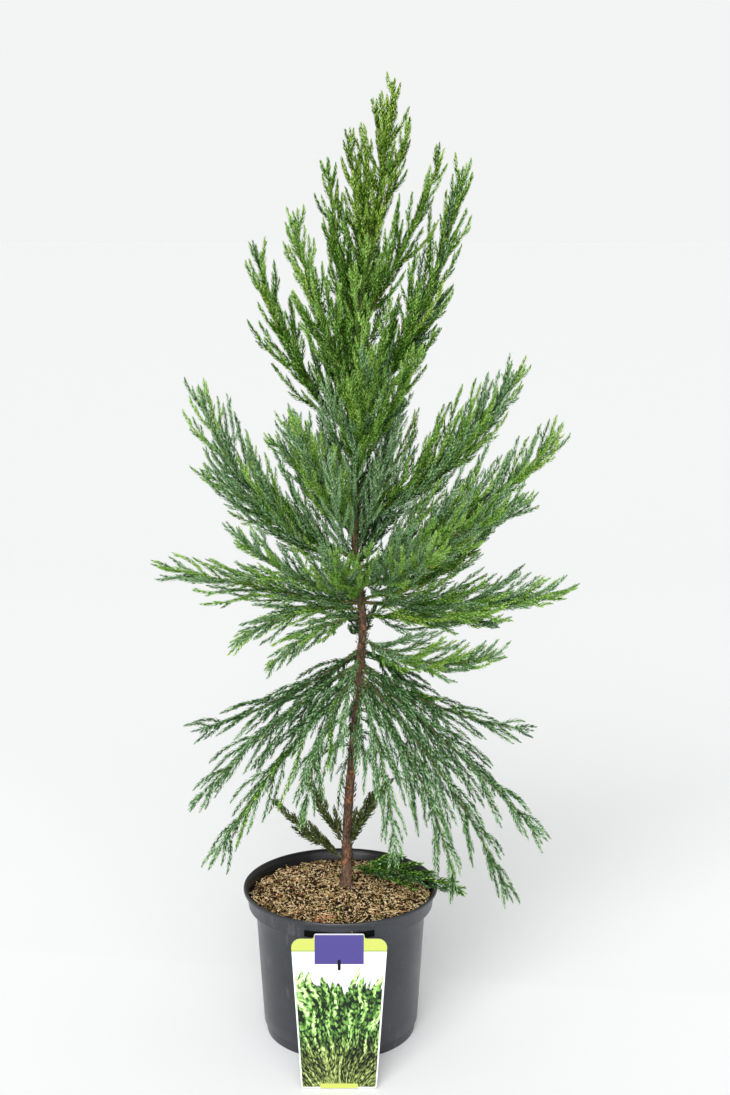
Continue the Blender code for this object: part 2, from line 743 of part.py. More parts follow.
def main():
    empty_scene()
    group = new_collection("japanese_cedar")
    guides = new_collection("guides")
    bark = plain_material("bark", (0.16, 0.085, 0.055), 0.85)
    needles = plain_material("needles", (0.10, 0.20, 0.055), 0.6)
    plastic = plain_material("pot plastic", (0.045, 0.048, 0.052), 0.45)
    mix = plain_material("potting mix", (0.22, 0.15, 0.08), 0.95)
    card = plain_material("tag card", (0.85, 0.86, 0.82), 0.35)

    space = Space()
    fixed = (
        pot(group, guides, plastic),
        potting_mix(group, mix),
        plant_tag(group, guides, card),
        trunk(group, guides, bark),
    )
    for item in fixed:
        space.take(item.data, item.name)
    trunk_tree = space.trees[-1][-1]

    boughs = list(BOUGHS) + [LEADER]
    paths = {}
    stems = {}
    for bough in boughs:
        path = leader_path() if bough is LEADER else bough_path(bough)
        paths[bough.name] = path
        length = bough.length * CM
        if bough is LEADER:
            mesh, _ = stem_mesh(bough, path, GAP / length, guides)
        elif bough.name in LIMBED:
            limb = seated(path, bough, trunk_tree, lambda s: limb_mesh(bough, path, s, guides))
            item = add_object(bough.name + "_limb", limb, group)
            finish(item, limb, bark, 60)
            space.take(limb, item.name)
            mesh, _ = stem_mesh(bough, path, bough.bare + GAP / length, guides)
        else:
            mesh = seated(path, bough, trunk_tree, lambda s: stem_mesh(bough, path, s, guides))
        stems[bough.name] = mesh
        blocked = space.meets(mesh, bough.name, GAP / 2)
        if blocked:
            print("the stem of", bough.name, "meets", blocked)
        space.take(mesh, bough.name)

    pieces = {bough.name: [stems[bough.name]] for bough in boughs}
    waiting = []
    for bough in boughs:
        rng = random.Random(bough.name)
        grown = side_shoots(paths[bough.name], bough, bough.length * CM, rng)
        waiting += [(i, bough.name, shoot) for i, shoot in enumerate(grown)]
    for i, name, shoot in sorted(waiting, key=lambda row: row[0]):
        for share in SHARES:
            mesh = shoot_mesh("%s_%02d" % (name, i), shoot, share, guides)
            if not space.meets(mesh, name):
                pieces[name].append(mesh)
                space.take(mesh, name)
                break
    for name, meshes in pieces.items():
        fuse(name + "_foliage", meshes, group, needles)


if __name__ == "__main__":
    main()
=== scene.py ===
"""The looks of a young Japanese cedar in its nursery pot.

Metres, +Z up, with the middle of the pot's flat underside at the origin. The boughs grow again by
the seeded rule of the solids, and go on from there to fine shoots and single needles.
"""

import math
import random
from typing import NamedTuple

import bpy
import numpy as np
from mathutils import Matrix, Vector, noise


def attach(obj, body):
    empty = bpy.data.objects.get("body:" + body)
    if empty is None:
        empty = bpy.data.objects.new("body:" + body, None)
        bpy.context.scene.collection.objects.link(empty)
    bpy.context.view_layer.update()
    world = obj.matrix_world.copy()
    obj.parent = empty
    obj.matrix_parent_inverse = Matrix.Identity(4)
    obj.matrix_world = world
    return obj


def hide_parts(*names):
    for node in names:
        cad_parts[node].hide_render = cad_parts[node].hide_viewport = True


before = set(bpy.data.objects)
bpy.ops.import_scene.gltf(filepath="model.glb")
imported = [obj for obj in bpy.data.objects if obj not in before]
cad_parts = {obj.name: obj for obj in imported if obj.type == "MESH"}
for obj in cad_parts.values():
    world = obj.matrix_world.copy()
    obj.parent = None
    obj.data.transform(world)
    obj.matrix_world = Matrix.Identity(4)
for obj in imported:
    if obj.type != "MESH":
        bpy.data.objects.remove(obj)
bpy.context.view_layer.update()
bpy.ops.object.select_all(action="DESELECT")

CM = 0.01
MM = 0.001
GAP = 0.0003

# The camera
CAMERA_PLACE = (0.0285, -1.864, 0.9555)
CAMERA_PITCH = 11.49
CAMERA_LENS = 55.89

# The pot
POT_HEIGHT = 0.1765
RIM_RADIUS = 0.1128
LIP_DEPTH = 0.0045
BAND_TOP_RADIUS = 0.1090
BAND_BOTTOM_RADIUS = 0.1070
BAND_BOTTOM = 0.1545
BODY_TOP = 0.1505
BODY_TOP_RADIUS = 0.0985
BODY_BOTTOM_RADIUS = 0.0902
FOOT_HEIGHT = 0.013
FOOT_RADIUS = 0.0870
FOOT_STEP = 0.0012
EDGE_BREAK = 0.0006
WALL = 0.0018
FLOOR = 0.0030
SLOT_WIDTH = 0.078
SLOT_BOTTOM = 0.1560
SLOT_TOP = 0.1645
POT_SIDES = 128
SLOT_DEPTH = 0.012
BAND_SEAMS = (-67.0, -50.0)  # degrees round from the front

# The potting mix
MIX_TOP = 0.1685
MIX_EDGE_HEIGHT = 0.1635
MIX_EDGE_RADIUS = 0.1074
MIX_FLAT_RADIUS = 0.034
MIX_SHOULDER_RADIUS = 0.082
MIX_SHOULDER_DROP = 0.0024
MIX_RINGS = 44
CHIPS = 10500
STRAWS = 260

# The plant tag
TAG_TOP_WIDTH = 0.106
TAG_BOTTOM_WIDTH = 0.083
TAG_LENGTH = 0.1624
TAG_TAB_WIDTH = 0.056
TAG_TAB_HEIGHT = 0.0055
TAG_CORNER = 0.010
TAG_THICKNESS = 0.0009
TAG_LEAN = 14.8
TAG_FOOT_CLEARANCE = 0.001
TAG_HOLE_WIDTH = 0.0034
TAG_HOLE_LENGTH = 0.0120
TAG_HOLE_DROP = 0.0386
TONGUE_WIDTH = 0.030
TONGUE_THICKNESS = 0.0020
HEADER_FOOT = 0.1495
HEADER_EDGE = 0.0012
BANNER_HALF_WIDTH = 0.0272
BANNER_FOOT = 0.1346
BANNER_FOLD = 0.1664
PANEL_TOP = 0.1310
PANEL_MARGIN = 0.0016
PANEL_FOOT = 0.0016
STRIP_HALF_WIDTH = 0.0205
FAN_DEPTH = 0.030  # how far below the card's foot the printed sprays fan out from
FAN_WIDTH = 0.110
STRIP_TOP = 0.0052

# The trunk: its course in centimetres (height above the mix, x, y), its girth and its flare
TRUNK_COURSE = (
    (0.03, 0.62, 1.5),
    (8.6, 0.85, 1.5),
    (17.6, 1.55, 1.5),
    (25.6, 2.15, 1.5),
    (31.6, 2.60, 1.5),
    (40.6, 1.75, 1.5),
    (49.6, 1.85, 1.5),
    (65.6, 2.20, 1.5),
    (72.1, 3.00, 1.4),
    (81.6, 4.60, 1.2),
    (91.6, 6.05, 1.0),
)
TRUNK_BASE_RADIUS = 0.0055
TRUNK_TIP_RADIUS = 0.0009
TRUNK_TAPER = 0.75
TRUNK_TOP = MIX_TOP + 0.791
TRUNK_FOOT = MIX_TOP - 0.0025
TRUNK_SIDES = 28
TRUNK_RINGS = 480
OLD_NEEDLES = 1100
FLARE_RADIUS = 0.0035
FLARE_HEIGHT = 0.012

# Boughs and shoots
LIMB_GIRTH = 0.0075
TIP_RADIUS = 0.0004
GOLDEN_TURN = 137.5
FLATTEN = 0.62
FRONT_PAINTED_LIGHT = 0.17  # painted light and shade: how much lighter the sprays at the front are painted, and how much darker those behind
NEEDLE_HALF_WIDTH = 0.150
NEEDLE_SHOULDER = (0.29, 0.34)  # (out from the shoot, along it), for a needle of unit length
NEEDLE_KEEL = (0.39, 0.38)
NEEDLE_TIP = (0.47, 0.82)


# The stage: the line where the floor's tone changes, the tones, and the light from all round
FLOOR_LINE = 0.137
FLOOR_LINE_TURN = 0.145
FLOOR_NEAR = (0.975, 0.980, 0.985)
FLOOR_BEHIND = (0.962, 0.970, 0.970)
FLOOR_FAR = (0.905, 0.912, 0.915)
WALL_TONE = (0.895, 0.905, 0.900)
WORLD_LIGHT = (0.46, 0.46, 0.46)


class Bough(NamedTuple):
    """One bough, in centimetres and degrees."""

    name: str
    height: float  # above the mix, where its line meets the trunk's axis
    azimuth: float  # from +X, anticlockwise from above: 180 is left, 270 is the front
    length: float  # along the limb and its leading shoot
    rise: float  # slope where it leaves the trunk
    finish: float  # slope at its tip
    bare: float  # share of the length that carries no needles
    shoots: int  # side shoots
    reach: float  # longest side shoot, as a share of the length
    lift: float  # how far the side shoots turn up, or hang where it is below 0


BOUGHS = (
    Bough("foot_left", 3.1, 180, 11.4, 36, 46, 0.10, 7, 0.36, 0.3),
    Bough("foot_upright", 4.6, 152, 10.5, 50, 66, 0.10, 6, 0.36, 0.3),
    Bough("foot_right", 4.1, 8, 10.4, 74, 42, 0.10, 7, 0.34, 0.3),
    Bough("rim_right", 2.2, -16, 14.6, 8, -20, 0.08, 8, 0.36, 0.0),
    Bough("low_left", 28.8, 167, 23.8, -40, -18, 0.24, 8, 0.38, -0.2),
    Bough("low_left_sweep", 27.0, 188, 26.0, -30, -50, 0.28, 9, 0.36, -0.4),
    Bough("low_left_hanging", 25.4, 206, 27.6, -36, -58, 0.26, 9, 0.36, -0.6),
    Bough("low_left_front", 26.2, 238, 20.0, -22, -84, 0.26, 8, 0.36, -0.6),
    Bough("low_back_left", 28.0, 124, 21.0, -24, -62, 0.24, 8, 0.38, -0.4),
    Bough("low_right", 27.2, 14, 23.6, -40, -10, 0.24, 8, 0.38, -0.2),
    Bough("low_right_sweep", 26.6, -5, 29.8, -40, -46, 0.24, 10, 0.34, -0.4),
    Bough("low_right_hanging", 25.8, -14, 32.0, -44, -66, 0.24, 10, 0.34, -0.8),
    Bough("low_right_inner", 25.2, -28, 27.5, -46, -78, 0.26, 9, 0.34, -0.8),
    Bough("low_right_front", 24.6, -62, 21.5, -44, -86, 0.26, 8, 0.34, -0.8),
    Bough("low_back_right", 28.6, 52, 20.0, -28, -50, 0.22, 8, 0.38, -0.2),
    Bough("low_back", 29.8, 98, 20.0, 6, 16, 0.20, 9, 0.40, 0.1),
    Bough("mid_left_long", 34.0, 181, 23.4, 8, 14, 0.30, 9, 0.38, 0.0),
    Bough("mid_left_low", 33.2, 199, 16.2, 16, -38, 0.26, 8, 0.40, -0.2),
    Bough("mid_left_lowest", 32.6, 222, 15.0, 4, -36, 0.22, 7, 0.40, -0.2),
    Bough("mid_left_front", 34.4, 217, 19.8, 18, 42, 0.30, 9, 0.42, 0.4),
    Bough("mid_left_high", 37.3, 180, 28.5, 27, 73, 0.24, 11, 0.44, 0.8),
    Bough("mid_left_back", 39.1, 152, 22.8, 18, 28, 0.26, 9, 0.40, 0.3),
    Bough("mid_left_fan", 41.9, 226, 17.4, 50, 64, 0.26, 9, 0.44, 0.6),
    Bough("mid_left_up", 43.0, 163, 14.2, 44, 42, 0.22, 8, 0.42, 0.5),
    Bough("mid_right_high", 43.0, 10, 26.0, 27, 58, 0.26, 11, 0.42, 0.6),
    Bough("mid_right_long", 37.3, -4, 28.2, 25, 46, 0.26, 10, 0.40, 0.6),
    Bough("mid_right_mid", 38.1, -30, 23.8, 19, 30, 0.26, 9, 0.40, 0.4),
    Bough("mid_right_front", 36.0, -64, 20.0, 18, 24, 0.24, 9, 0.42, 0.4),
    Bough("mid_right_back", 34.4, 36, 23.4, 8, 34, 0.24, 9, 0.40, 0.6),
    Bough("mid_right_low", 34.2, -7, 24.0, -4, 14, 0.28, 9, 0.38, 0.1),
    Bough("mid_right_lowest", 32.6, 26, 18.5, -6, -12, 0.26, 8, 0.38, 0.0),
    Bough("mid_right_droop", 30.0, -34, 19.0, -22, 28, 0.24, 8, 0.38, 0.2),
    Bough("mid_front", 35.1, 258, 17.5, 18, 38, 0.20, 9, 0.42, 0.5),
    Bough("mid_back", 38.1, 80, 21.0, 22, 40, 0.20, 10, 0.42, 0.5),
    Bough("mid_back_left", 41.6, 122, 20.5, 26, 48, 0.22, 9, 0.42, 0.5),
    Bough("high_right", 54.4, -12, 31.0, 56, 78, 0.20, 12, 0.36, 0.5),
    Bough("high_right_back", 56.2, 34, 18.0, 42, 50, 0.20, 9, 0.42, 0.5),
    Bough("high_right_front", 51.1, -52, 17.0, 40, 58, 0.20, 9, 0.42, 0.5),
    Bough("high_left", 52.7, 182, 24.5, 44, 82, 0.24, 10, 0.40, 0.6),
    Bough("high_left_front", 57.2, 220, 22.4, 56, 78, 0.20, 10, 0.40, 0.5),
    Bough("high_back", 50.1, 96, 23.5, 40, 70, 0.20, 10, 0.42, 0.5),
    Bough("high_front", 47.6, 276, 20.0, 42, 68, 0.20, 10, 0.42, 0.5),
    Bough("top_right", 64.4, -26, 22.2, 58, 68, 0.18, 9, 0.36, 0.4),
    Bough("top_left", 64.1, 192, 19.6, 74, 86, 0.18, 9, 0.36, 0.4),
    Bough("top_back", 64.6, 84, 20.0, 54, 76, 0.16, 9, 0.40, 0.4),
    Bough("crown_left", 72.1, 186, 14.5, 78, 88, 0.14, 7, 0.38, 0.4),
    Bough("crown_right", 74.1, -24, 14.0, 66, 74, 0.14, 7, 0.38, 0.4),
)
LIMBED = (
    "low_left_sweep",
    "low_left_front",
    "low_right_hanging",
    "mid_left_long",
    "mid_left_high",
    "mid_right_high",
    "mid_right_long",
    "mid_right_low",
)
LEADER = Bough("leader", 79.1, 0, 12.7, 80, 80, 0.0, 9, 0.60, 0.5)


class Habit(NamedTuple):
    """How shoots and needles grow in one storey of the tree."""

    needle: float  # a needle's length
    stand: float  # how far the needles stand out from their shoot
    pitch: float  # length of shoot to each needle
    start: float  # how much of a bough's bare share stays without short shoots
    between: float  # side shoots between the main ones, to each main one
    between_reach: float  # their reach, as a share of a main one's
    upturn: float  # how much more than the main ones they turn up
    fine_every: float  # length of side shoot to each fine shoot on it
    fine_reach: float  # longest fine shoot, as a share of its side shoot
    short_every: float  # length of bough to each short shoot on it
    leave: float  # the angle at which the shoots between leave, in degrees
    blue: float  # share of blue-green sprays
    gold: float  # share of yellow-green sprays
    bright: float  # how light the sprays are


HABITS = {
    "foot": Habit(8.4 * MM, 1.10, 0.66 * MM, 1.0, 1.4, 0.65, 0.0, 0.018, 0.32, 0.016, 44, 0.0, 0.0, 0.62),
    "rim": Habit(6.4 * MM, 1.00, 0.85 * MM, 1.0, 2.4, 0.95, 0.0, 0.014, 0.34, 0.012, 38, 0.4, 0.0, 0.33),
    "low": Habit(6.2 * MM, 0.90, 0.95 * MM, 0.05, 1.55, 1.20, 0.0, 0.024, 0.23, 0.014, 32, 0.92, 0.0, 0.55),
    "mid": Habit(5.8 * MM, 0.88, 0.88 * MM, 0.15, 3.0, 1.10, 0.2, 0.015, 0.33, 0.009, 36, 0.5, 0.0, 0.72),
    "mid_right": Habit(
        5.8 * MM, 0.88, 0.88 * MM, 0.15, 3.9, 1.24, 0.5, 0.015, 0.33, 0.009, 38, 0.45, 0.08, 0.76
    ),
    "high": Habit(5.8 * MM, 0.90, 0.75 * MM, 0.2, 2.7, 1.00, 0.0, 0.016, 0.35, 0.009, 31, 0.15, 0.08, 0.54),
    "top": Habit(5.8 * MM, 0.90, 0.71 * MM, 0.15, 2.2, 0.98, 0.0, 0.019, 0.31, 0.010, 28, 0.0, 0.3, 0.45),
    "crown": Habit(5.8 * MM, 0.92, 0.68 * MM, 0.1, 2.0, 0.95, 0.0, 0.020, 0.31, 0.010, 27, 0.0, 0.75, 0.50),
    "leader": Habit(6.0 * MM, 0.96, 0.62 * MM, 0.0, 1.2, 0.55, 0.0, 0.020, 0.31, 0.012, 28, 0.0, 1.0, 0.53),
}



class Fringe(NamedTuple):
    """Shoots that leave the trunk itself, between the boughs, in centimetres and degrees."""

    start: float  # above the mix
    end: float
    every: float
    lengths: tuple  # at its start and at its end
    rise: tuple  # the least and the greatest slope where they leave
    lean: float  # what the slope gains from start to end
    finish: float  # slope at their tips
    fine_every: float  # length of shoot to each fine shoot on it
    fine_reach: float
    blue_below: float  # the height under which its sprays are blue-green
    blue_painted_light: float  # how much lighter those are painted, as painted light
    gold_above: float  # the height over which its sprays are yellow-green


CROWN_FRINGE = Fringe(38.5, 86.6, 0.60, (16.5, 5.0), (26, 54), 18, 82, 1.3, 0.36, 50.0, 0.18, 72.0)
LOW_FRINGE = Fringe(16.5, 28.0, 0.50, (9.0, 14.5), (-20, 25), 0, -86, 2.4, 0.24, 30.0, 0.0, 90.0)

# Needle shades by sort, each from the shaded inside to the growing tips
SHADES = {
    "green": (
        (0.014, 0.054, 0.003),
        (0.050, 0.148, 0.012),
        (0.112, 0.270, 0.030),
        (0.200, 0.400, 0.062),
        (0.312, 0.532, 0.112),
        (0.440, 0.655, 0.190),
    ),
    "gold": (
        (0.016, 0.053, 0.002),
        (0.062, 0.150, 0.009),
        (0.136, 0.274, 0.022),
        (0.236, 0.404, 0.050),
        (0.358, 0.534, 0.098),
        (0.490, 0.655, 0.180),
    ),
    "blue": (
        (0.018, 0.054, 0.012),
        (0.072, 0.168, 0.052),
        (0.176, 0.328, 0.136),
        (0.335, 0.510, 0.275),
    ),
    "olive": (
        (0.034, 0.046, 0.013),
        (0.090, 0.118, 0.036),
        (0.175, 0.215, 0.080),
    ),
    "dry": ((0.085, 0.050, 0.026),),
}


def heading(azimuth, slope):
    """The unit vector of an azimuth and a slope in degrees."""
    turn = math.radians(azimuth)
    up = math.radians(slope)
    return Vector((math.cos(turn) * math.cos(up), math.sin(turn) * math.cos(up), math.sin(up)))


def trunk_point(height):
    """The trunk's axis at a height in metres, smooth through its course."""
    z = (height - MIX_TOP) / CM
    last = len(TRUNK_COURSE) - 2
    k = 0
    while k < last and z > TRUNK_COURSE[k + 1][0]:
        k += 1
    before = TRUNK_COURSE[max(k - 1, 0)]
    start = TRUNK_COURSE[k]
    end = TRUNK_COURSE[k + 1]
    after = TRUNK_COURSE[min(k + 2, last + 1)]
    span = end[0] - start[0]
    t = (z - start[0]) / span
    place = [0.0, 0.0]
    for axis in (1, 2):
        slope_in = (end[axis] - before[axis]) / (end[0] - before[0]) * span
        slope_out = (after[axis] - start[axis]) / (after[0] - start[0]) * span
        place[axis - 1] = (
            (2 * t**3 - 3 * t**2 + 1) * start[axis]
            + (t**3 - 2 * t**2 + t) * slope_in
            + (3 * t**2 - 2 * t**3) * end[axis]
            + (t**3 - t**2) * slope_out
        )
    return Vector((place[0] * CM, place[1] * CM, height))


def trunk_radius(height):
    """The trunk's radius at a height in metres, with its flare at the foot."""
    foot = MIX_TOP + TRUNK_COURSE[0][0] * CM
    top = MIX_TOP + TRUNK_COURSE[-1][0] * CM
    t = min(max((height - foot) / (top - foot), 0.0), 1.0)
    girth = TRUNK_TIP_RADIUS + (TRUNK_BASE_RADIUS - TRUNK_TIP_RADIUS) * (1 - t) ** TRUNK_TAPER
    return girth + FLARE_RADIUS * math.exp(-(height - foot) / FLARE_HEIGHT * 2)


def bough_path(bough, steps=40):
    """Points along a bough, from the trunk's axis to its tip, at even spacing."""
    if bough is LEADER:
        top = MIX_TOP + TRUNK_COURSE[-1][0] * CM
        return [trunk_point(TRUNK_TOP + (top - TRUNK_TOP) * i / 20) for i in range(21)]
    points = [trunk_point(MIX_TOP + bough.height * CM)]
    for i in range(steps):
        s = (i + 0.5) / steps
        slope = bough.rise + (bough.finish - bough.rise) * s
        points.append(points[-1] + heading(bough.azimuth, slope) * (bough.length * CM / steps))
    return points


def along(path, s):
    """The point at share s of a path with even spacing, and the path's direction there."""
    place = min(max(s, 0.0), 1.0) * (len(path) - 1)
    k = min(int(place), len(path) - 2)
    point = path[k].lerp(path[k + 1], place - k)
    return point, (path[k + 1] - path[k]).normalized()


def side_shoots(path, bough, length, rng, steps=12, leave_at=44):
    """The side shoots of a path: each leaves in its turn of a spiral and bends forward."""
    shoots = []
    up = Vector((0, 0, 1))
    for i in range(bough.shoots):
        t = (i + 0.35 + 0.3 * rng.random()) / bough.shoots
        s = bough.bare + (1 - bough.bare) * t * 0.93
        roll = math.radians(GOLDEN_TURN * i + 30 * (rng.random() - 0.5))
        leave = math.radians(leave_at + 14 * (rng.random() - 0.5))
        reach = bough.reach * length * (1 - 0.72 * t) * (0.8 + 0.35 * rng.random())
        root, forward = along(path, s)
        side = forward.cross(up)
        if side.length < 0.2:
            side = forward.cross(Vector((0, 1, 0)))
        side.normalize()
        across = forward.cross(side)
        out = side * math.cos(roll) - across * (math.sin(roll) * FLATTEN)
        start = forward * math.cos(leave) + out.normalized() * math.sin(leave)
        aim = (forward + up * bough.lift + out * 0.25).normalized()
        points = [root]
        for k in range(steps):
            bend = ((k + 0.5) / steps) ** 0.8
            points.append(points[-1] + start.lerp(aim, bend).normalized() * (reach / steps))
        shoots.append((s, points))
    return shoots


def stem_radius(bough, s):
    """The bare wood's radius at share s of a bough."""
    root = LIMB_GIRTH * bough.length * CM
    return TIP_RADIUS + (root - TIP_RADIUS) * (1 - s) ** 0.8


class Shoot(NamedTuple):
    """One shoot that carries needles."""

    points: np.ndarray
    root_radius: float
    tip_radius: float
    outer: tuple  # how far out in the crown it starts and ends, from 0 to 1
    tone: float  # its own lightness
    sort: str  # which row of shades its needles take


def habit_of(name):
    return HABITS["mid_right" if name.startswith("mid_right") else name.split("_")[0]]


def length_of(points):
    return sum((b - a).length for a, b in zip(points, points[1:]))


def grown(bough):
    """Every shoot of a bough: its leader, its side shoots, short shoots and fine shoots."""
    habit = habit_of(bough.name)
    rng = random.Random(bough.name)
    path = bough_path(bough)
    length = bough.length * CM
    sides = side_shoots(path, bough, length, rng)
    extra = random.Random(bough.name + " fine")
    shoots = []

    def keep(points, radius, outer, sort=None):
        if sort is None:
            draw = extra.random()
            sort = "blue" if draw < habit.blue else "gold" if draw > 1 - habit.gold else "green"
            if bough.name.startswith("foot"):
                sort = "olive"
        # Painted light and shade: sprays that face the front are painted lighter, those behind darker
        tone = extra.gauss(0, 0.12) - FRONT_PAINTED_LIGHT * math.sin(math.radians(bough.azimuth))
        shoots.append(Shoot(np.array(points), radius, TIP_RADIUS, outer, tone, sort))
        return sort

    bare = bough.bare * habit.start
    first = int(bare * (len(path) - 1))
    keep(path[first:], max(stem_radius(bough, bare), 0.0007), (0.1, 1.0))

    count = round(length * (1 - bare) / habit.short_every)
    short = bough._replace(shoots=count, bare=bare, reach=0.115)
    for s, points in side_shoots(path, short, length, extra, 4, habit.leave):
        keep(points, 0.0006, (0.1 + 0.6 * s, 0.35 + 0.6 * s))

    between = bough._replace(
        shoots=round(bough.shoots * habit.between),
        bare=bare,
        reach=bough.reach * habit.between_reach,
        lift=bough.lift + habit.upturn,
    )
    sides += side_shoots(path, between, length, extra, 8, habit.leave)
    for s, points in sides:
        reach = length_of(points)
        sort = keep(points, 0.0008, (0.1 + 0.5 * s, 0.6 + 0.4 * s))
        count = max(2, round(reach / habit.fine_every))
        fine = bough._replace(
            shoots=count, bare=0.08, reach=habit.fine_reach, lift=bough.lift * 0.6
        )
        for t, tip in side_shoots(points, fine, reach, extra, 4, habit.leave - 5):
            inner = 0.1 + 0.5 * s + 0.4 * t
            keep(tip, 0.0005, (inner, min(inner + 0.25, 1.0)), sort)
    return habit, shoots


def trunk_shoots(fringe, seed):
    """The shoots of a fringe, in a spiral round the trunk."""
    extra = random.Random(seed)
    shoots = []
    height = fringe.start
    turn = 250.0
    while height < fringe.end:
        share = (height - fringe.start) / (fringe.end - fringe.start)
        length = fringe.lengths[0] + (fringe.lengths[1] - fringe.lengths[0]) * share
        length *= CM * extra.uniform(0.55, 1.1)
        rise = extra.uniform(*fringe.rise) + fringe.lean * share
        points = [trunk_point(MIX_TOP + height * CM)]
        for k in range(8):
            slope = rise + (fringe.finish - rise) * ((k + 0.5) / 8) ** 0.7
            points.append(points[-1] + heading(turn, slope) * (length / 8))
        # Painted light and shade: shoots that face the front are painted lighter, those behind darker
        tone = extra.gauss(0.04, 0.1) - FRONT_PAINTED_LIGHT * math.sin(math.radians(turn))
        sort = "gold" if height > fringe.gold_above else "green"
        if height < fringe.blue_below:
            sort = "blue"
            # Painted light: the blue-green sprays low in this fringe are painted lighter
            tone += fringe.blue_painted_light
        row = (0.0008, TIP_RADIUS, (0.3, 0.9), tone, sort)
        shoots.append(Shoot(np.array(points), *row))
        count = round(length / (fringe.fine_every * CM))
        fine = LEADER._replace(
            shoots=count, bare=0.15, reach=fringe.fine_reach, lift=math.sin(math.radians(fringe.finish)) * 0.5
        )
        for t, tip in side_shoots(points, fine, length, extra, 4, 36):
            outer = (0.3 + 0.4 * t, 0.5 + 0.4 * t)
            shoots.append(Shoot(np.array(tip), 0.0005, TIP_RADIUS, outer, tone, sort))
        height += fringe.every * extra.uniform(0.7, 1.3)
        turn += GOLDEN_TURN
    return shoots


def unit(vectors):
    return vectors / np.linalg.norm(vectors, axis=-1, keepdims=True)


def frames(points):
    """The direction of a run of points, and two directions square to it, at each point."""
    ahead = unit(np.gradient(points, axis=0))
    axis = np.zeros(3)
    axis[np.argmin(np.abs(ahead.mean(axis=0)))] = 1.0
    side = unit(np.cross(axis, ahead))
    return ahead, side, np.cross(ahead, side)


def joined_mesh(name, points, faces, slots, materials):
    """One object from arrays of points, triangles and their material slots."""
    mesh = bpy.data.meshes.new(name)
    mesh.vertices.add(len(points))
    mesh.vertices.foreach_set("co", np.ascontiguousarray(points, dtype=np.float32).ravel())
    mesh.loops.add(faces.size)
    mesh.loops.foreach_set("vertex_index", np.ascontiguousarray(faces, dtype=np.int32).ravel())
    mesh.polygons.add(len(faces))
    mesh.polygons.foreach_set("loop_start", np.arange(0, faces.size, 3, dtype=np.int32))
    mesh.polygons.foreach_set("material_index", np.ascontiguousarray(slots, dtype=np.int32))
    mesh.polygons.foreach_set("use_smooth", np.ones(len(faces), dtype=bool))
    for material in materials:
        mesh.materials.append(material)
    mesh.update(calc_edges=True)
    mesh.validate()
    item = bpy.data.objects.new(name, mesh)
    bpy.context.scene.collection.objects.link(item)
    return item


def copies(name, shape, turns, places, slots, materials):
    """One joined object from a small shape, copied by turn-and-size matrices to places.

    The slots are one for each copy, or a row of them for the faces of each copy.
    """
    points, faces = shape
    moved = np.einsum("nij,vj->nvi", turns, points) + places[:, None, :]
    offsets = np.arange(len(places)) * len(points)
    all_faces = faces[None, :, :] + offsets[:, None, None]
    return joined_mesh(
        name,
        moved.reshape(-1, 3),
        all_faces.reshape(-1, 3),
        slots.ravel() if slots.ndim == 2 else np.repeat(slots, len(faces)),
        materials,
    )


def tube_arrays(points, radii, sides):
    """A closed tube's points and triangles."""
    _, side, over = frames(points)
    turn = np.arange(sides) * 2 * math.pi / sides
    ring = side[:, None, :] * np.cos(turn)[None, :, None] + over[:, None, :] * np.sin(turn)[None, :, None]
    skin = points[:, None, :] + ring * radii[:, None, None]
    rings = len(points)
    k = np.arange(sides)
    n = (k + 1) % sides
    faces = []
    for r in range(rings - 1):
        a, b = r * sides, (r + 1) * sides
        faces.append(np.stack([a + k, a + n, b + n], axis=1))
        faces.append(np.stack([a + k, b + n, b + k], axis=1))
    fan = np.arange(1, sides - 1)
    end = (rings - 1) * sides
    faces.append(np.stack([np.zeros_like(fan), fan + 1, fan], axis=1))
    faces.append(np.stack([np.full_like(fan, end), end + fan, end + fan + 1], axis=1))
    return skin.reshape(-1, 3), np.concatenate(faces)


def tubes(name, runs, materials):
    """One joined object from many tubes: (points, radii, sides, slot)."""
    points, faces, slots = [], [], []
    base = 0
    for line, radii, sides, slot in runs:
        skin, mesh_faces = tube_arrays(line, radii, sides)
        points.append(skin)
        faces.append(mesh_faces + base)
        slots.append(np.full(len(mesh_faces), slot))
        base += len(skin)
    return joined_mesh(
        name, np.concatenate(points), np.concatenate(faces), np.concatenate(slots), materials
    )


def needle_shape():
    """One awl-shaped needle of unit length, keeled along its back: x stands out, z runs on."""
    bpy.ops.mesh.primitive_plane_add(size=1)
    item = bpy.context.object
    bpy.ops.object.mode_set(mode="EDIT")
    bpy.ops.mesh.select_all(action="SELECT")
    bpy.ops.mesh.poke()
    bpy.ops.object.mode_set(mode="OBJECT")
    mesh = item.data
    for corner in mesh.vertices:
        x, y, _ = corner.co
        if x * y > 0.1:
            corner.co = (0, 0, 0) if x < 0 else (NEEDLE_TIP[0], 0, NEEDLE_TIP[1])
        elif x * y < -0.1:
            out, on = NEEDLE_SHOULDER
            corner.co = (out, math.copysign(NEEDLE_HALF_WIDTH, x), on)
        else:
            corner.co = (NEEDLE_KEEL[0], 0, NEEDLE_KEEL[1])
    points = np.array([v.co for v in mesh.vertices])
    faces = np.array([tuple(p.vertices) for p in mesh.polygons])
    bpy.data.objects.remove(item)
    normals = np.cross(
        points[faces[:, 1]] - points[faces[:, 0]], points[faces[:, 2]] - points[faces[:, 0]]
    )
    if normals[:, 0].sum() < 0:
        faces = faces[:, ::-1]
    return points, faces


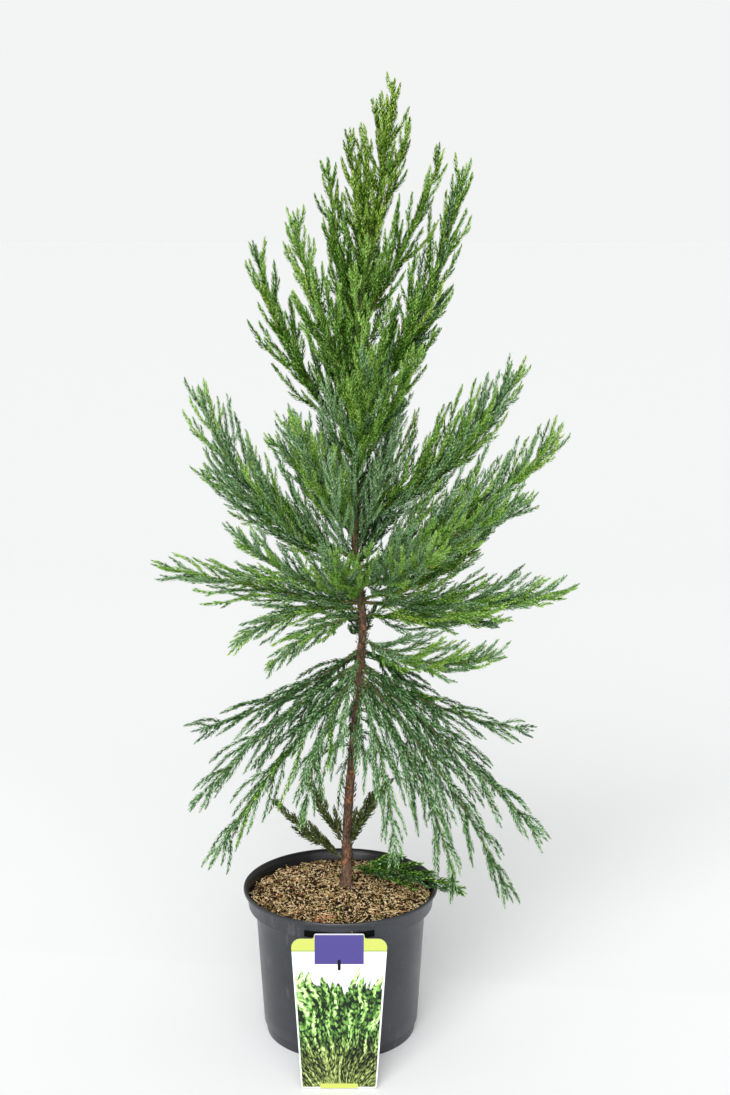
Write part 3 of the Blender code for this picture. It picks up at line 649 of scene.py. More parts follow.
def needle_rows(shoot, habit, rng):
    """Places, turn-and-size matrices and shades of one shoot's needles."""
    points = shoot.points
    steps = np.linalg.norm(np.diff(points, axis=0), axis=1)
    reach = np.concatenate([[0.0], np.cumsum(steps)])
    total = reach[-1]
    count = max(4, int(total / habit.pitch))
    s = (np.arange(count) + rng.random(count) * 0.6) / count * (total - 0.0005)
    ahead, side, over = frames(points)
    spot = np.stack([np.interp(s, reach, points[:, k]) for k in range(3)], axis=1)
    t = unit(np.stack([np.interp(s, reach, ahead[:, k]) for k in range(3)], axis=1))
    n = unit(np.stack([np.interp(s, reach, side[:, k]) for k in range(3)], axis=1))
    b = np.cross(t, n)
    turn = np.radians(np.arange(count) * GOLDEN_TURN + rng.normal(0, 9, count))[:, None]
    out = n * np.cos(turn) + b * np.sin(turn)
    across = np.cross(t, out)
    to_tip = (total - s) / 0.012
    close = np.clip(to_tip, 0.0, 1.0)
    size = habit.needle * (0.55 + 0.45 * close) * rng.uniform(0.82, 1.12, count)
    stand = habit.stand * (0.45 + 0.55 * close) * rng.uniform(0.85, 1.15, count)
    radius = np.interp(s / total, [0, 1], [shoot.root_radius, shoot.tip_radius])
    turns = np.stack(
        [
            out * (size * stand)[:, None],
            across * size[:, None],
            t * (size * (1.35 - 0.35 * stand))[:, None],
        ],
        axis=2,
    )
    outer = shoot.outer[0] + (shoot.outer[1] - shoot.outer[0]) * s / total
    # Needles further in the crown are painted darker: partly the older needles' own darker green, partly
    # painted shade.
    light = habit.bright + shoot.tone + 0.32 * (outer - 0.55) + rng.normal(0, 0.20, count)
    return spot + out * (radius * 0.6)[:, None], turns, light


def shades(light, sort):
    """Material slots from lightness, within one sort of shades."""
    count = len(SHADES[sort])
    return FIRST[sort] + np.clip(light * count, 0, count - 0.01).astype(int)


def face_slots_with_painted_shade(slots, faces):
    """Slots for each needle's faces: those at its base are painted darker, as painted shade next to the shoot.
    """
    at_base = (faces == 0).any(axis=1)
    step = np.where(slots < FIRST["blue"], 2, 1)
    darker = np.maximum(slots - step, DARKEST[slots])
    return np.where(at_base[None, :], darker[:, None], slots[:, None])


def plain_needle(name, color, roughness):
    """A needle's green: its base colour is plain, with a soft waxy sheen."""
    material = bpy.data.materials.new(name)
    material.use_nodes = True
    shader = material.node_tree.nodes["Principled BSDF"]
    shader.inputs["Base Color"].default_value = (*color, 1.0)
    shader.inputs["Roughness"].default_value = roughness
    shader.inputs["Specular IOR Level"].default_value = 0.06
    return material


def add(tree, kind, inputs=None, **settings):
    """A shader node with its settings, and its inputs set to values or linked to outputs."""
    made = tree.nodes.new("ShaderNode" + kind)
    for name, value in settings.items():
        setattr(made, name, value)
    for name, value in (inputs or {}).items():
        socket = made.inputs[name]
        if isinstance(value, bpy.types.NodeSocket):
            tree.links.new(value, socket)
        else:
            socket.default_value = value
    return made


def effect(name, inputs, outputs):
    """An empty node group with named inputs and outputs, and its two end nodes."""
    tree = bpy.data.node_groups.new(name, "ShaderNodeTree")
    for label, kind in inputs:
        tree.interface.new_socket(label, in_out="INPUT", socket_type="NodeSocket" + kind)
    for label, kind in outputs:
        tree.interface.new_socket(label, in_out="OUTPUT", socket_type="NodeSocket" + kind)
    return tree, tree.nodes.new("NodeGroupInput"), tree.nodes.new("NodeGroupOutput")


def mottle_effect():
    """Blotches with a finer grain in them, from 0 to 1."""
    tree, given, put = effect(
        "mottle", (("Vector", "Vector"), ("Scale", "Float")), (("Mask", "Float"),)
    )
    broad = add(tree, "TexNoise", {"Vector": given.outputs[0], "Scale": given.outputs[1]})
    broad.inputs["Detail"].default_value = 3
    finer = add(tree, "Math", {0: given.outputs[1], 1: 5.0}, operation="MULTIPLY")
    grain = add(tree, "TexNoise", {"Vector": given.outputs[0], "Scale": finer.outputs[0]})
    both = add(tree, "Mix", {"Factor": 0.4, "A": broad.outputs[0], "B": grain.outputs[0]})
    spread = add(
        tree, "MapRange", {"Value": both.outputs[0], "From Min": 0.34, "From Max": 0.66}
    )
    tree.links.new(spread.outputs[0], put.inputs[0])
    return tree


def fibre_effect():
    """Fibres that run up the piece, from 0 to 1, with the Stretch of their length."""
    tree, given, put = effect(
        "fibres",
        (("Vector", "Vector"), ("Scale", "Float"), ("Stretch", "Float")),
        (("Mask", "Float"),),
    )
    size = add(tree, "CombineXYZ", {"X": 1.0, "Y": 1.0, "Z": given.outputs[2]})
    drawn = add(
        tree, "VectorMath", {0: given.outputs[0], 1: size.outputs[0]}, operation="MULTIPLY"
    )
    threads = add(tree, "TexNoise", {"Vector": drawn.outputs[0], "Scale": given.outputs[1]})
    threads.inputs["Detail"].default_value = 4
    threads.inputs["Roughness"].default_value = 0.6
    spread = add(
        tree, "MapRange", {"Value": threads.outputs[0], "From Min": 0.32, "From Max": 0.68}
    )
    tree.links.new(spread.outputs[0], put.inputs[0])
    return tree


mottle = mottle_effect()
fibres = fibre_effect()


class Look:
    """A material in the making: its tree, its shader and the piece's own coordinates."""

    def __init__(self, name, roughness, specular=0.4):
        self.material = bpy.data.materials.new(name)
        self.material.use_nodes = True
        self.tree = self.material.node_tree
        self.shader = self.tree.nodes["Principled BSDF"]
        self.shader.inputs["Roughness"].default_value = roughness
        self.shader.inputs["Specular IOR Level"].default_value = specular
        self.place = add(self.tree, "TexCoord").outputs["Object"]

    def group(self, effect_tree, **values):
        made = self.tree.nodes.new("ShaderNodeGroup")
        made.node_tree = effect_tree
        self.tree.links.new(self.place, made.inputs["Vector"])
        for name, value in values.items():
            made.inputs[name].default_value = value
        return made.outputs[0]

    def math(self, operation, first, second=0.0):
        return add(self.tree, "Math", {0: first, 1: second}, operation=operation).outputs[0]

    def ramp(self, factor, stops):
        """Colours along a factor: (place, colour) stops."""
        made = add(self.tree, "ValToRGB", {"Fac": factor})
        band = made.color_ramp
        while len(band.elements) < len(stops):
            band.elements.new(0.5)
        for element, (place, color) in zip(band.elements, stops):
            element.position = place
            element.color = (*color, 1.0)
        return made.outputs[0]

    def blend(self, factor, first, second):
        """One colour over another by a mask."""
        made = add(self.tree, "Mix", {"Factor": factor}, data_type="RGBA")
        for socket, color in ((6, first), (7, second)):
            if isinstance(color, bpy.types.NodeSocket):
                self.tree.links.new(color, made.inputs[socket])
            else:
                made.inputs[socket].default_value = (*color, 1.0)
        return made.outputs[2]

    def between(self, value, low, high, to_low=0.0, to_high=1.0):
        made = add(self.tree, "MapRange", {"Value": value, "From Min": low, "From Max": high})
        made.inputs["To Min"].default_value = to_low
        made.inputs["To Max"].default_value = to_high
        return made.outputs[0]

    def color(self, socket):
        self.tree.links.new(socket, self.shader.inputs["Base Color"])

    def rough(self, socket):
        self.tree.links.new(socket, self.shader.inputs["Roughness"])

    def relief(self, height, depth, strength=1.0):
        bump = add(
            self.tree, "Bump", {"Height": height, "Distance": depth, "Strength": strength}
        )
        self.tree.links.new(bump.outputs[0], self.shader.inputs["Normal"])


def bark_material():
    """Stringy red-brown bark with grey and orange patches, greener on the young wood above."""
    look = Look("bark", 0.85, 0.12)
    threads = look.group(fibres, Scale=900.0, Stretch=0.12)
    patches = look.group(mottle, Scale=70.0)
    wood = look.ramp(
        threads,
        ((0.0, (0.024, 0.015, 0.011)), (0.45, (0.088, 0.053, 0.038)), (1.0, (0.215, 0.135, 0.095))),
    )
    worn = look.ramp(
        patches,
        ((0.0, (0.052, 0.038, 0.032)), (0.6, (0.135, 0.085, 0.060)), (1.0, (0.380, 0.155, 0.070))),
    )
    brown = look.blend(look.between(patches, 0.5, 0.85, 0.0, 0.8), wood, worn)
    high = add(look.tree, "SeparateXYZ", {"Vector": look.place}).outputs[2]
    young = look.between(high, 0.55, 0.70)
    green = look.ramp(threads, ((0.0, (0.045, 0.050, 0.018)), (1.0, (0.150, 0.170, 0.060))))
    look.color(look.blend(young, brown, green))
    look.rough(look.between(threads, 0.0, 1.0, 0.95, 0.7))
    look.relief(threads, 0.0006, 0.8)
    return look.material


def stem_material():
    """Young wood of the boughs: brown and green in patches."""
    look = Look("young_bark", 0.75, 0.12)
    threads = look.group(fibres, Scale=1100.0, Stretch=0.3)
    patches = look.group(mottle, Scale=45.0)
    brown = look.ramp(threads, ((0.0, (0.060, 0.036, 0.022)), (1.0, (0.210, 0.120, 0.070))))
    green = look.ramp(threads, ((0.0, (0.050, 0.070, 0.022)), (1.0, (0.150, 0.190, 0.065))))
    look.color(look.blend(look.between(patches, 0.25, 0.75), brown, green))
    look.relief(threads, 0.0004, 0.6)
    return look.material


def pot_material():
    """Satin charcoal plastic with faint scuffs, the mould's two seams on the band, and painted shade on the
    inner wall.
    """
    look = Look("satin_charcoal_plastic", 0.4, 0.5)
    clouds = look.group(mottle, Scale=14.0)
    scuffs = look.group(fibres, Scale=60.0, Stretch=0.25)
    specks = look.group(mottle, Scale=260.0)
    base = look.ramp(clouds, ((0.0, (0.0165, 0.0190, 0.0240)), (1.0, (0.0270, 0.0305, 0.0380))))
    rubbed = look.between(scuffs, 0.80, 1.0, 0.0, 0.35)
    dusty = look.between(specks, 0.88, 1.0, 0.0, 0.30)
    marked = look.blend(rubbed, base, (0.110, 0.112, 0.118))
    marked = look.blend(dusty, marked, (0.230, 0.225, 0.215))
    split = add(look.tree, "SeparateXYZ", {"Vector": look.place})
    toward = look.math("MULTIPLY", split.outputs[1], -1.0)
    turn = look.math("ARCTAN2", split.outputs[0], toward)
    line = None
    for degrees in BAND_SEAMS:
        off = look.math("ABSOLUTE", look.math("SUBTRACT", turn, math.radians(degrees)))
        near = look.between(off, 0.003, 0.007, 1.0, 0.0)
        line = near if line is None else look.math("MAXIMUM", line, near)
    above = look.between(split.outputs[2], BODY_TOP, BAND_BOTTOM)
    seam = look.math("MULTIPLY", line, above)
    marked = look.blend(look.math("MULTIPLY", seam, 0.7), marked, (0.008, 0.008, 0.009))
    # Painted shade: the inner wall within the band is painted near black.
    out = add(look.tree, "CombineXYZ", {"X": split.outputs[0], "Y": split.outputs[1]})
    radius = add(look.tree, "VectorMath", {0: out.outputs[0]}, operation="LENGTH").outputs["Value"]
    band_slope = (BAND_TOP_RADIUS - BAND_BOTTOM_RADIUS) / (POT_HEIGHT - BAND_BOTTOM)
    rise = look.math("MULTIPLY", look.math("SUBTRACT", split.outputs[2], BAND_BOTTOM), band_slope)
    depth = look.math("SUBTRACT", look.math("ADD", rise, BAND_BOTTOM_RADIUS), radius)
    lip_bottom = POT_HEIGHT - LIP_DEPTH
    lip_reach = RIM_RADIUS - BAND_TOP_RADIUS - 0.0006
    lip = look.between(split.outputs[2], lip_bottom - 0.0002, lip_bottom + 0.0002, 0.0, lip_reach)
    depth = look.math("ADD", depth, lip)
    inside = look.between(depth, WALL * 0.4, WALL * 0.6)
    in_band = look.between(split.outputs[2], BAND_BOTTOM, BAND_BOTTOM + 0.0005)
    inside = look.math("MULTIPLY", inside, in_band)
    look.color(look.blend(inside, marked, (0.004, 0.004, 0.005)))
    look.rough(look.between(clouds, 0.0, 1.0, 0.27, 0.42))
    skin = look.math("SUBTRACT", look.math("MULTIPLY", specks, 0.25), seam)
    look.relief(skin, 0.0003, 0.5)
    return look.material


def mix_material():
    """Damp brown mix between the chips; its sides against the pot's wall are painted black as painted shade."""
    look = Look("damp_mix", 0.95, 0.06)
    crumbs = look.group(mottle, Scale=320.0)
    soil = look.ramp(
        crumbs,
        ((0.0, (0.006, 0.004, 0.003)), (0.5, (0.030, 0.019, 0.011)), (1.0, (0.120, 0.080, 0.042))),
    )
    high = add(look.tree, "SeparateXYZ", {"Vector": look.place}).outputs[2]
    # Painted shade: the sides below the mix's edge are painted black.
    side = look.between(high, MIX_EDGE_HEIGHT - 0.0015, MIX_EDGE_HEIGHT - 0.0002, 1.0, 0.0)
    look.color(look.blend(side, soil, (0.006, 0.006, 0.006)))
    look.relief(crumbs, 0.0012, 1.0)
    return look.material


def chip_material(name, dark, light):
    """One sort of chip: a mottled grain from its dark to its light colour."""
    look = Look(name, 0.85, 0.06)
    grain = look.group(mottle, Scale=700.0)
    look.color(look.ramp(grain, ((0.0, dark), (1.0, light))))
    look.relief(grain, 0.0003, 0.6)
    return look.material


def card_material(name, color, gloss=0.35):
    """Coated card: an even print with the faint tooth of the stock in it."""
    look = Look(name, gloss, 0.4)
    tooth = look.group(mottle, Scale=500.0)
    darker = tuple(c * 0.93 for c in color)
    look.color(look.ramp(tooth, ((0.0, darker), (1.0, color))))
    look.rough(look.between(tooth, 0.0, 1.0, gloss - 0.05, gloss + 0.08))
    look.relief(tooth, 0.00008, 0.3)
    return look.material


def leaf_panel_material():
    """The card's leafy print: sprays that fan upwards in many greens, under a ragged white top."""
    look = Look("leafy_print", 0.5, 0.08)
    split = add(look.tree, "SeparateXYZ", {"Vector": look.place})
    across, high = split.outputs[0], split.outputs[2]
    bend = add(look.tree, "TexNoise", {"Vector": look.place, "Scale": 30.0, "Detail": 0.0})
    sway = look.math("MULTIPLY", look.math("SUBTRACT", bend.outputs[0], 0.5), 0.016)
    across = look.math("ADD", across, sway)
    above = look.math("ADD", high, FAN_DEPTH)
    turn = look.math("MULTIPLY", look.math("ARCTAN2", across, above), FAN_WIDTH)
    reach = look.math("SQRT", look.math("ADD", look.math("POWER", across, 2.0), look.math("POWER", above, 2.0)))
    streak = add(look.tree, "CombineXYZ", {"X": turn, "Z": look.math("MULTIPLY", reach, 0.11)})
    dab = add(look.tree, "CombineXYZ", {"X": turn, "Z": look.math("MULTIPLY", reach, 0.62)})
    sprays = add(look.tree, "TexVoronoi", {"Vector": streak.outputs[0], "Scale": 165.0})
    small = add(look.tree, "TexVoronoi", {"Vector": dab.outputs[0], "Scale": 560.0})
    clumps = look.group(mottle, Scale=45.0)
    shade = add(look.tree, "SeparateColor", {"Color": sprays.outputs["Color"]}).outputs[0]
    dapple = add(look.tree, "SeparateColor", {"Color": small.outputs["Color"]}).outputs[1]
    spine = look.between(sprays.outputs["Distance"], 0.10, 0.55, 0.46, 0.0)
    spine = look.math("MULTIPLY", spine, look.between(high, 0.015, 0.075, 0.40, 1.0))
    tone = look.math("ADD", look.math("MULTIPLY", shade, 0.10), look.math("MULTIPLY", dapple, 0.42))
    tone = look.math("ADD", tone, look.math("MULTIPLY", clumps, 0.08))
    tone = look.math("ADD", tone, spine)
    tone = look.math("ADD", tone, look.between(high, 0.0, 0.035, 0.12, 0.02))
    fresh = look.ramp(
        tone,
        (
            (0.30, (0.010, 0.018, 0.010)),
            (0.43, (0.060, 0.160, 0.030)),
            (0.58, (0.260, 0.490, 0.115)),
            (0.80, (0.730, 0.900, 0.480)),
        ),
    )
    mossy = look.ramp(
        tone,
        (
            (0.32, (0.010, 0.011, 0.007)),
            (0.45, (0.095, 0.135, 0.036)),
            (0.61, (0.330, 0.410, 0.120)),
            (0.84, (0.720, 0.760, 0.400)),
        ),
    )
    ground = look.between(high, 0.030, 0.062, 1.0, 0.0)
    field = look.blend(ground, fresh, mossy)
    edge = look.math("SUBTRACT", high, look.math("MULTIPLY", spine, 0.050))
    edge = look.math("ADD", edge, look.math("MULTIPLY", shade, 0.012))
    sky = look.between(edge, 0.111, 0.114)
    look.color(look.blend(sky, field, (0.755, 0.775, 0.765)))
    return look.material


needle_looks = []
FIRST = {}  # the slot of each sort's darkest shade
for sort, row in SHADES.items():
    FIRST[sort] = len(needle_looks)
    for place, color in enumerate(row):
        rough = 0.55 if sort in ("green", "gold") else 0.65
        needle_looks.append(plain_needle("needle %s %d" % (sort, place), color, rough))
DARKEST = np.repeat(list(FIRST.values()), [len(row) for row in SHADES.values()])
bark = bark_material()
young_bark = stem_material()
plastic = pot_material()
damp_mix = mix_material()
chip_looks = [
    chip_material("chip_straw", (0.600, 0.415, 0.200), (0.960, 0.775, 0.490)),
    chip_material("chip_tan", (0.330, 0.195, 0.080), (0.640, 0.420, 0.200)),
    chip_material("chip_brown", (0.090, 0.045, 0.020), (0.230, 0.125, 0.058)),
    chip_material("chip_dark", (0.006, 0.004, 0.003), (0.030, 0.018, 0.012)),
    chip_material("chip_olive", (0.170, 0.170, 0.035), (0.440, 0.410, 0.130)),
    chip_material("chip_red", (0.360, 0.110, 0.045), (0.680, 0.290, 0.140)),
]
CHIP_SHARES = (0.24, 0.15, 0.13, 0.36, 0.10, 0.02)


def closed_by_ops():
    """In edit mode: merge doubles and turn all faces outwards."""
    bpy.ops.mesh.select_all(action="SELECT")
    bpy.ops.mesh.remove_doubles(threshold=0.000005)
    bpy.ops.mesh.normals_make_consistent(inside=False)


def seat_at_origin(item, smooth_angle=None):
    """Put the piece's place into its mesh, so its object sits at the origin."""
    bpy.ops.object.select_all(action="DESELECT")
    bpy.context.view_layer.objects.active = item
    item.select_set(True)
    bpy.ops.object.transform_apply(location=True, rotation=True, scale=True)
    if smooth_angle:
        bpy.ops.object.shade_smooth_by_angle(angle=math.radians(smooth_angle))
    bpy.ops.object.select_all(action="DESELECT")


def turned(name, profile, sides):
    """A closed turned form: a circle extruded ring by ring through an (r, z) profile."""
    radius, height = profile[0]
    bpy.ops.mesh.primitive_circle_add(vertices=sides, radius=radius, location=(0, 0, height))
    item = bpy.context.object
    item.name = item.data.name = name
    bpy.ops.object.mode_set(mode="EDIT")
    bpy.ops.mesh.select_all(action="SELECT")
    bpy.ops.mesh.edge_face_add()
    bpy.ops.mesh.poke()
    bpy.ops.mesh.select_all(action="SELECT")
    bpy.ops.mesh.region_to_loop()
    for wide, high in profile[1:]:
        bpy.ops.mesh.extrude_edges_move(TRANSFORM_OT_translate={"value": (0, 0, high - height)})
        bpy.ops.transform.resize(
            value=(wide / radius, wide / radius, 1), center_override=(0, 0, high)
        )
        radius, height = wide, high
    bpy.ops.mesh.edge_face_add()
    bpy.ops.mesh.poke()
    closed_by_ops()
    bpy.ops.object.mode_set(mode="OBJECT")
    return item


def curve_points(start, end, lean, count=5):
    """Points of a quarter turn from one (r, z) point to another; lean is its corner."""
    points = []
    for i in range(count + 1):
        t = i / count
        points.append(
            tuple(
                (1 - t) ** 2 * a + 2 * t * (1 - t) * c + t * t * b
                for a, b, c in zip(start, end, lean)
            )
        )
    return points


def build_pot():
    """The pot: foot, tapered body, flared band and rolled lip, with the tag's slot cut out."""
    lip_bottom = POT_HEIGHT - LIP_DEPTH
    roll = LIP_DEPTH * 0.45
    profile = [(FOOT_RADIUS - 0.003, 0.0008), (FOOT_RADIUS - 0.0022, 0.0)]
    profile += curve_points((FOOT_RADIUS - 0.001, 0), (FOOT_RADIUS, 0.001), (FOOT_RADIUS, 0), 3)
    profile += [(FOOT_RADIUS + FOOT_STEP * 0.9, FOOT_HEIGHT - FOOT_STEP)]
    profile += [(FOOT_RADIUS + FOOT_STEP * 0.9, FOOT_HEIGHT - FOOT_STEP * 0.6)]
    profile += [(BODY_BOTTOM_RADIUS - 0.0005, FOOT_HEIGHT - 0.0001)]
    profile += [(BODY_BOTTOM_RADIUS, FOOT_HEIGHT + 0.0006)]
    for i in range(1, 9):
        t = i / 9
        wide = BODY_BOTTOM_RADIUS + (BODY_TOP_RADIUS - BODY_BOTTOM_RADIUS) * t
        profile += [(wide, FOOT_HEIGHT + (BODY_TOP - FOOT_HEIGHT) * t)]
    profile += curve_points(
        (BODY_TOP_RADIUS, BODY_TOP),
        (BAND_BOTTOM_RADIUS - 0.0006, BAND_BOTTOM - 0.0002),
        (BODY_TOP_RADIUS + 0.0006, BAND_BOTTOM - 0.001),
    )
    profile += curve_points(
        (BAND_BOTTOM_RADIUS - 0.0003, BAND_BOTTOM),
        (BAND_BOTTOM_RADIUS + 0.0001, BAND_BOTTOM + 0.0008),
        (BAND_BOTTOM_RADIUS, BAND_BOTTOM),
        2,
    )
    profile += [(BAND_TOP_RADIUS, lip_bottom - FOOT_STEP)]
    profile += curve_points(
        (BAND_TOP_RADIUS + 0.0004, lip_bottom - 0.0004),
        (RIM_RADIUS, lip_bottom + roll * 0.6),
        (RIM_RADIUS, lip_bottom - 0.0002),
        4,
    )
    profile += curve_points(
        (RIM_RADIUS, POT_HEIGHT - roll), (RIM_RADIUS - 0.0012, POT_HEIGHT), (RIM_RADIUS, POT_HEIGHT), 4
    )
    profile += curve_points(
        (RIM_RADIUS - WALL, POT_HEIGHT),
        (BAND_TOP_RADIUS - WALL + 0.001, lip_bottom + 0.001),
        (RIM_RADIUS - WALL - 0.0012, POT_HEIGHT - 0.0003),
        4,
    )
    profile += [
        (BAND_TOP_RADIUS - WALL, lip_bottom - 0.0012),
        (BAND_BOTTOM_RADIUS - WALL, BAND_BOTTOM),
        (BODY_TOP_RADIUS - WALL, BODY_TOP),
        (BODY_BOTTOM_RADIUS - WALL, FOOT_HEIGHT),
        (FOOT_RADIUS - WALL, FLOOR),
    ]
    item = turned("nursery_pot", profile, POT_SIDES)
    bpy.ops.mesh.primitive_cube_add(
        size=1, location=(0, -RIM_RADIUS, (SLOT_TOP + SLOT_BOTTOM) / 2)
    )
    cutter = bpy.context.object
    bpy.ops.object.mode_set(mode="EDIT")
    bpy.ops.mesh.select_all(action="SELECT")
    bpy.ops.transform.resize(
        value=(SLOT_WIDTH, 0.040, SLOT_TOP - SLOT_BOTTOM), center_override=tuple(cutter.location)
    )
    bpy.ops.object.mode_set(mode="OBJECT")
    bpy.ops.object.select_all(action="DESELECT")
    bpy.context.view_layer.objects.active = item
    item.select_set(True)
    cut = item.modifiers.new("slot", "BOOLEAN")
    cut.operation = "DIFFERENCE"
    cut.object = cutter
    bpy.ops.object.modifier_apply(modifier=cut.name)
    bpy.data.objects.remove(cutter)
    seat_at_origin(item, 35)
    item.data.materials.append(plastic)
    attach(item, "root")
    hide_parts("pot")


def mix_height(x, y):
    """The height of the mix's rough top at a place."""
    r = math.hypot(x, y)
    if r < MIX_SHOULDER_RADIUS:
        t = max(r - MIX_FLAT_RADIUS, 0) / (MIX_SHOULDER_RADIUS - MIX_FLAT_RADIUS)
        smooth = MIX_TOP - MIX_SHOULDER_DROP * t
    else:
        t = (r - MIX_SHOULDER_RADIUS) / (MIX_EDGE_RADIUS - MIX_SHOULDER_RADIUS)
        start = MIX_TOP - MIX_SHOULDER_DROP
        smooth = start + (MIX_EDGE_HEIGHT - start) * t
    lumps = noise.noise(Vector((x * 60, y * 60, 3.1))) * 0.0012
    crumbs = noise.noise(Vector((x * 260, y * 260, 7.7))) * 0.0009
    return smooth + (lumps + crumbs) - 0.0006


def build_mix():
    """The mix's own rough surface, with its sides just inside the pot."""
    inset = WALL + GAP
    edge = MIX_EDGE_RADIUS - inset
    profile = [
        (FOOT_RADIUS - inset, FLOOR + GAP),
        (BODY_BOTTOM_RADIUS - inset, FOOT_HEIGHT),
        (BODY_TOP_RADIUS - inset, BODY_TOP),
        (BAND_BOTTOM_RADIUS - inset, BAND_BOTTOM),
        (edge, MIX_EDGE_HEIGHT - 0.002),
    ]
    for i in range(MIX_RINGS):
        wide = edge * (1 - i / MIX_RINGS)
        profile.append((wide, MIX_EDGE_HEIGHT))
    item = turned("mix_bed", profile, POT_SIDES)
    seat_at_origin(item)
    for corner in item.data.vertices:
        x, y, z = corner.co
        if z > MIX_EDGE_HEIGHT - 0.001:
            corner.co.z = mix_height(x, y)
    item.data.update()
    item.data.materials.append(damp_mix)
    item.data.polygons.foreach_set("use_smooth", [True] * len(item.data.polygons))
    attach(item, "root")
    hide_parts("potting_mix")


def chip_shape(length, width, depth, curl):
    """One chip from a cube: tapered to its ends and curled a little."""
    bpy.ops.mesh.primitive_cube_add(size=1)
    item = bpy.context.object
    bpy.ops.object.mode_set(mode="EDIT")
    bpy.ops.mesh.select_all(action="SELECT")
    bpy.ops.mesh.quads_convert_to_tris()
    bpy.ops.transform.resize(value=(length, width, depth), center_override=(0, 0, 0))
    bpy.ops.object.mode_set(mode="OBJECT")
    for corner in item.data.vertices:
        x, y, z = corner.co
        if x > 0:
            corner.co.y = y * 0.45
            corner.co.z = z * 0.6 + curl
        if x < 0 and y < 0:
            corner.co.x = x * 0.7
    points = np.array([v.co for v in item.data.vertices])
    faces = np.array([tuple(p.vertices) for p in item.data.polygons])
    bpy.data.objects.remove(item)
    return points, faces


def build_chips():
    """Bark chips and straw strewn on the mix, dealt out in sorts."""
    rng = np.random.default_rng(41)
    edge = MIX_EDGE_RADIUS - WALL - 0.0018
    shapes = (
        (chip_shape(0.0024, 0.0012, 0.0007, 0.0004), CHIPS // 2),
        (chip_shape(0.0034, 0.0009, 0.0006, -0.0006), CHIPS // 3),
        (chip_shape(0.0021, 0.0018, 0.0013, 0.0003), CHIPS // 6),
        (chip_shape(0.0120, 0.0011, 0.0005, 0.0012), STRAWS),
    )
    for k, (shape, count) in enumerate(shapes):
        reach = edge * np.sqrt(rng.random(count))
        turn = rng.random(count) * 2 * math.pi
        places = np.stack([reach * np.cos(turn), reach * np.sin(turn), np.zeros(count)], axis=1)
        places[:, 2] = [mix_height(x, y) for x, y, _ in places]
        places[:, 2] += rng.uniform(-0.0002, 0.0013, count)
        yaw = rng.random(count) * 2 * math.pi
        pitch = rng.normal(0, 0.5 if k < 3 else 0.12, count)
        roll = rng.normal(0, 0.6, count)
        size = rng.uniform(0.6, 1.35, count)
        turns = np.array(
            [
                np.array(
                    Matrix.Rotation(a, 3, "Z") @ Matrix.Rotation(b, 3, "Y") @ Matrix.Rotation(c, 3, "X")
                )
                * d
                for a, b, c, d in zip(yaw, pitch, roll, size)
            ]
        )
        sorts = rng.choice(len(chip_looks), count, p=CHIP_SHARES)
        patch = np.array([noise.noise(Vector((x * 45, y * 45, 1.0))) for x, y, _ in places])
        sorts = np.where((patch > 0.28) & (sorts == 1), 0, sorts)
        sorts = np.where((patch < -0.30) & (sorts == 0), 2, sorts)
        ember = np.hypot(places[:, 0] + 0.016, places[:, 1] + 0.075) < 0.013
        sorts = np.where(ember & (rng.random(count) < 0.5), 5, sorts)
        if k == 3:
            sorts = rng.integers(0, 2, count)
        name = ("chips_flat", "chips_slim", "chips_crumbs", "straw_bits")[k]
        item = copies(name, shape, turns, places, sorts, chip_looks)
        item.data.polygons.foreach_set("use_smooth", [False] * len(item.data.polygons))
        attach(item, "root")
        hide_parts("potting_mix")


def bark_swell(x, y, z, turn):
    """How far the bark stands out from the trunk's plain taper."""
    ridge = noise.noise(Vector((math.cos(turn) * 2.6, math.sin(turn) * 2.6, z * 26)))
    plate = noise.noise(Vector((math.cos(turn) * 1.4 + 9, math.sin(turn) * 1.4, z * 95)))
    fine = noise.noise(Vector((x * 800, y * 800, z * 240)))
    return 0.11 * ridge + 0.07 * plate + 0.05 * fine


def build_trunk():
    """The trunk: a grid rolled round its axis, with its bark's relief and a collar at each bough."""
    bpy.ops.mesh.primitive_grid_add(
        x_subdivisions=TRUNK_SIDES, y_subdivisions=TRUNK_RINGS, size=1
    )
    item = bpy.context.object
    item.name = item.data.name = "trunk_bark"
    roots = np.array([[MIX_TOP + b.height * CM, math.radians(b.azimuth), b.length * CM] for b in BOUGHS])
    for corner in item.data.vertices:
        turn = (corner.co.x + 0.5) * 2 * math.pi
        z = TRUNK_FOOT + (corner.co.y + 0.5) * (TRUNK_TOP - TRUNK_FOOT)
        axis = trunk_point(max(z, MIX_TOP))
        radius = trunk_radius(z)
        swell = bark_swell(axis.x + math.cos(turn) * radius, axis.y + math.sin(turn) * radius, z, turn)
        off = (turn - roots[:, 1] + math.pi) % (2 * math.pi) - math.pi
        wide = 0.0035 + 0.012 * roots[:, 2]
        collar = np.exp(-(((z - roots[:, 0]) / wide) ** 2) - (off / 0.55) ** 2).sum()
        radius = radius * (1 + swell) + min(collar, 1.2) * 0.16 * radius
        corner.co = (axis.x + math.cos(turn) * radius, axis.y + math.sin(turn) * radius, z)
    bpy.ops.object.mode_set(mode="EDIT")
    bpy.ops.mesh.select_all(action="SELECT")
    bpy.ops.mesh.remove_doubles(threshold=0.000005)
    bpy.ops.mesh.region_to_loop()
    bpy.ops.mesh.edge_face_add()
    closed_by_ops()
    bpy.ops.object.mode_set(mode="OBJECT")
    seat_at_origin(item, 60)
    item.data.materials.append(bark)
    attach(item, "root")
    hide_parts("trunk")


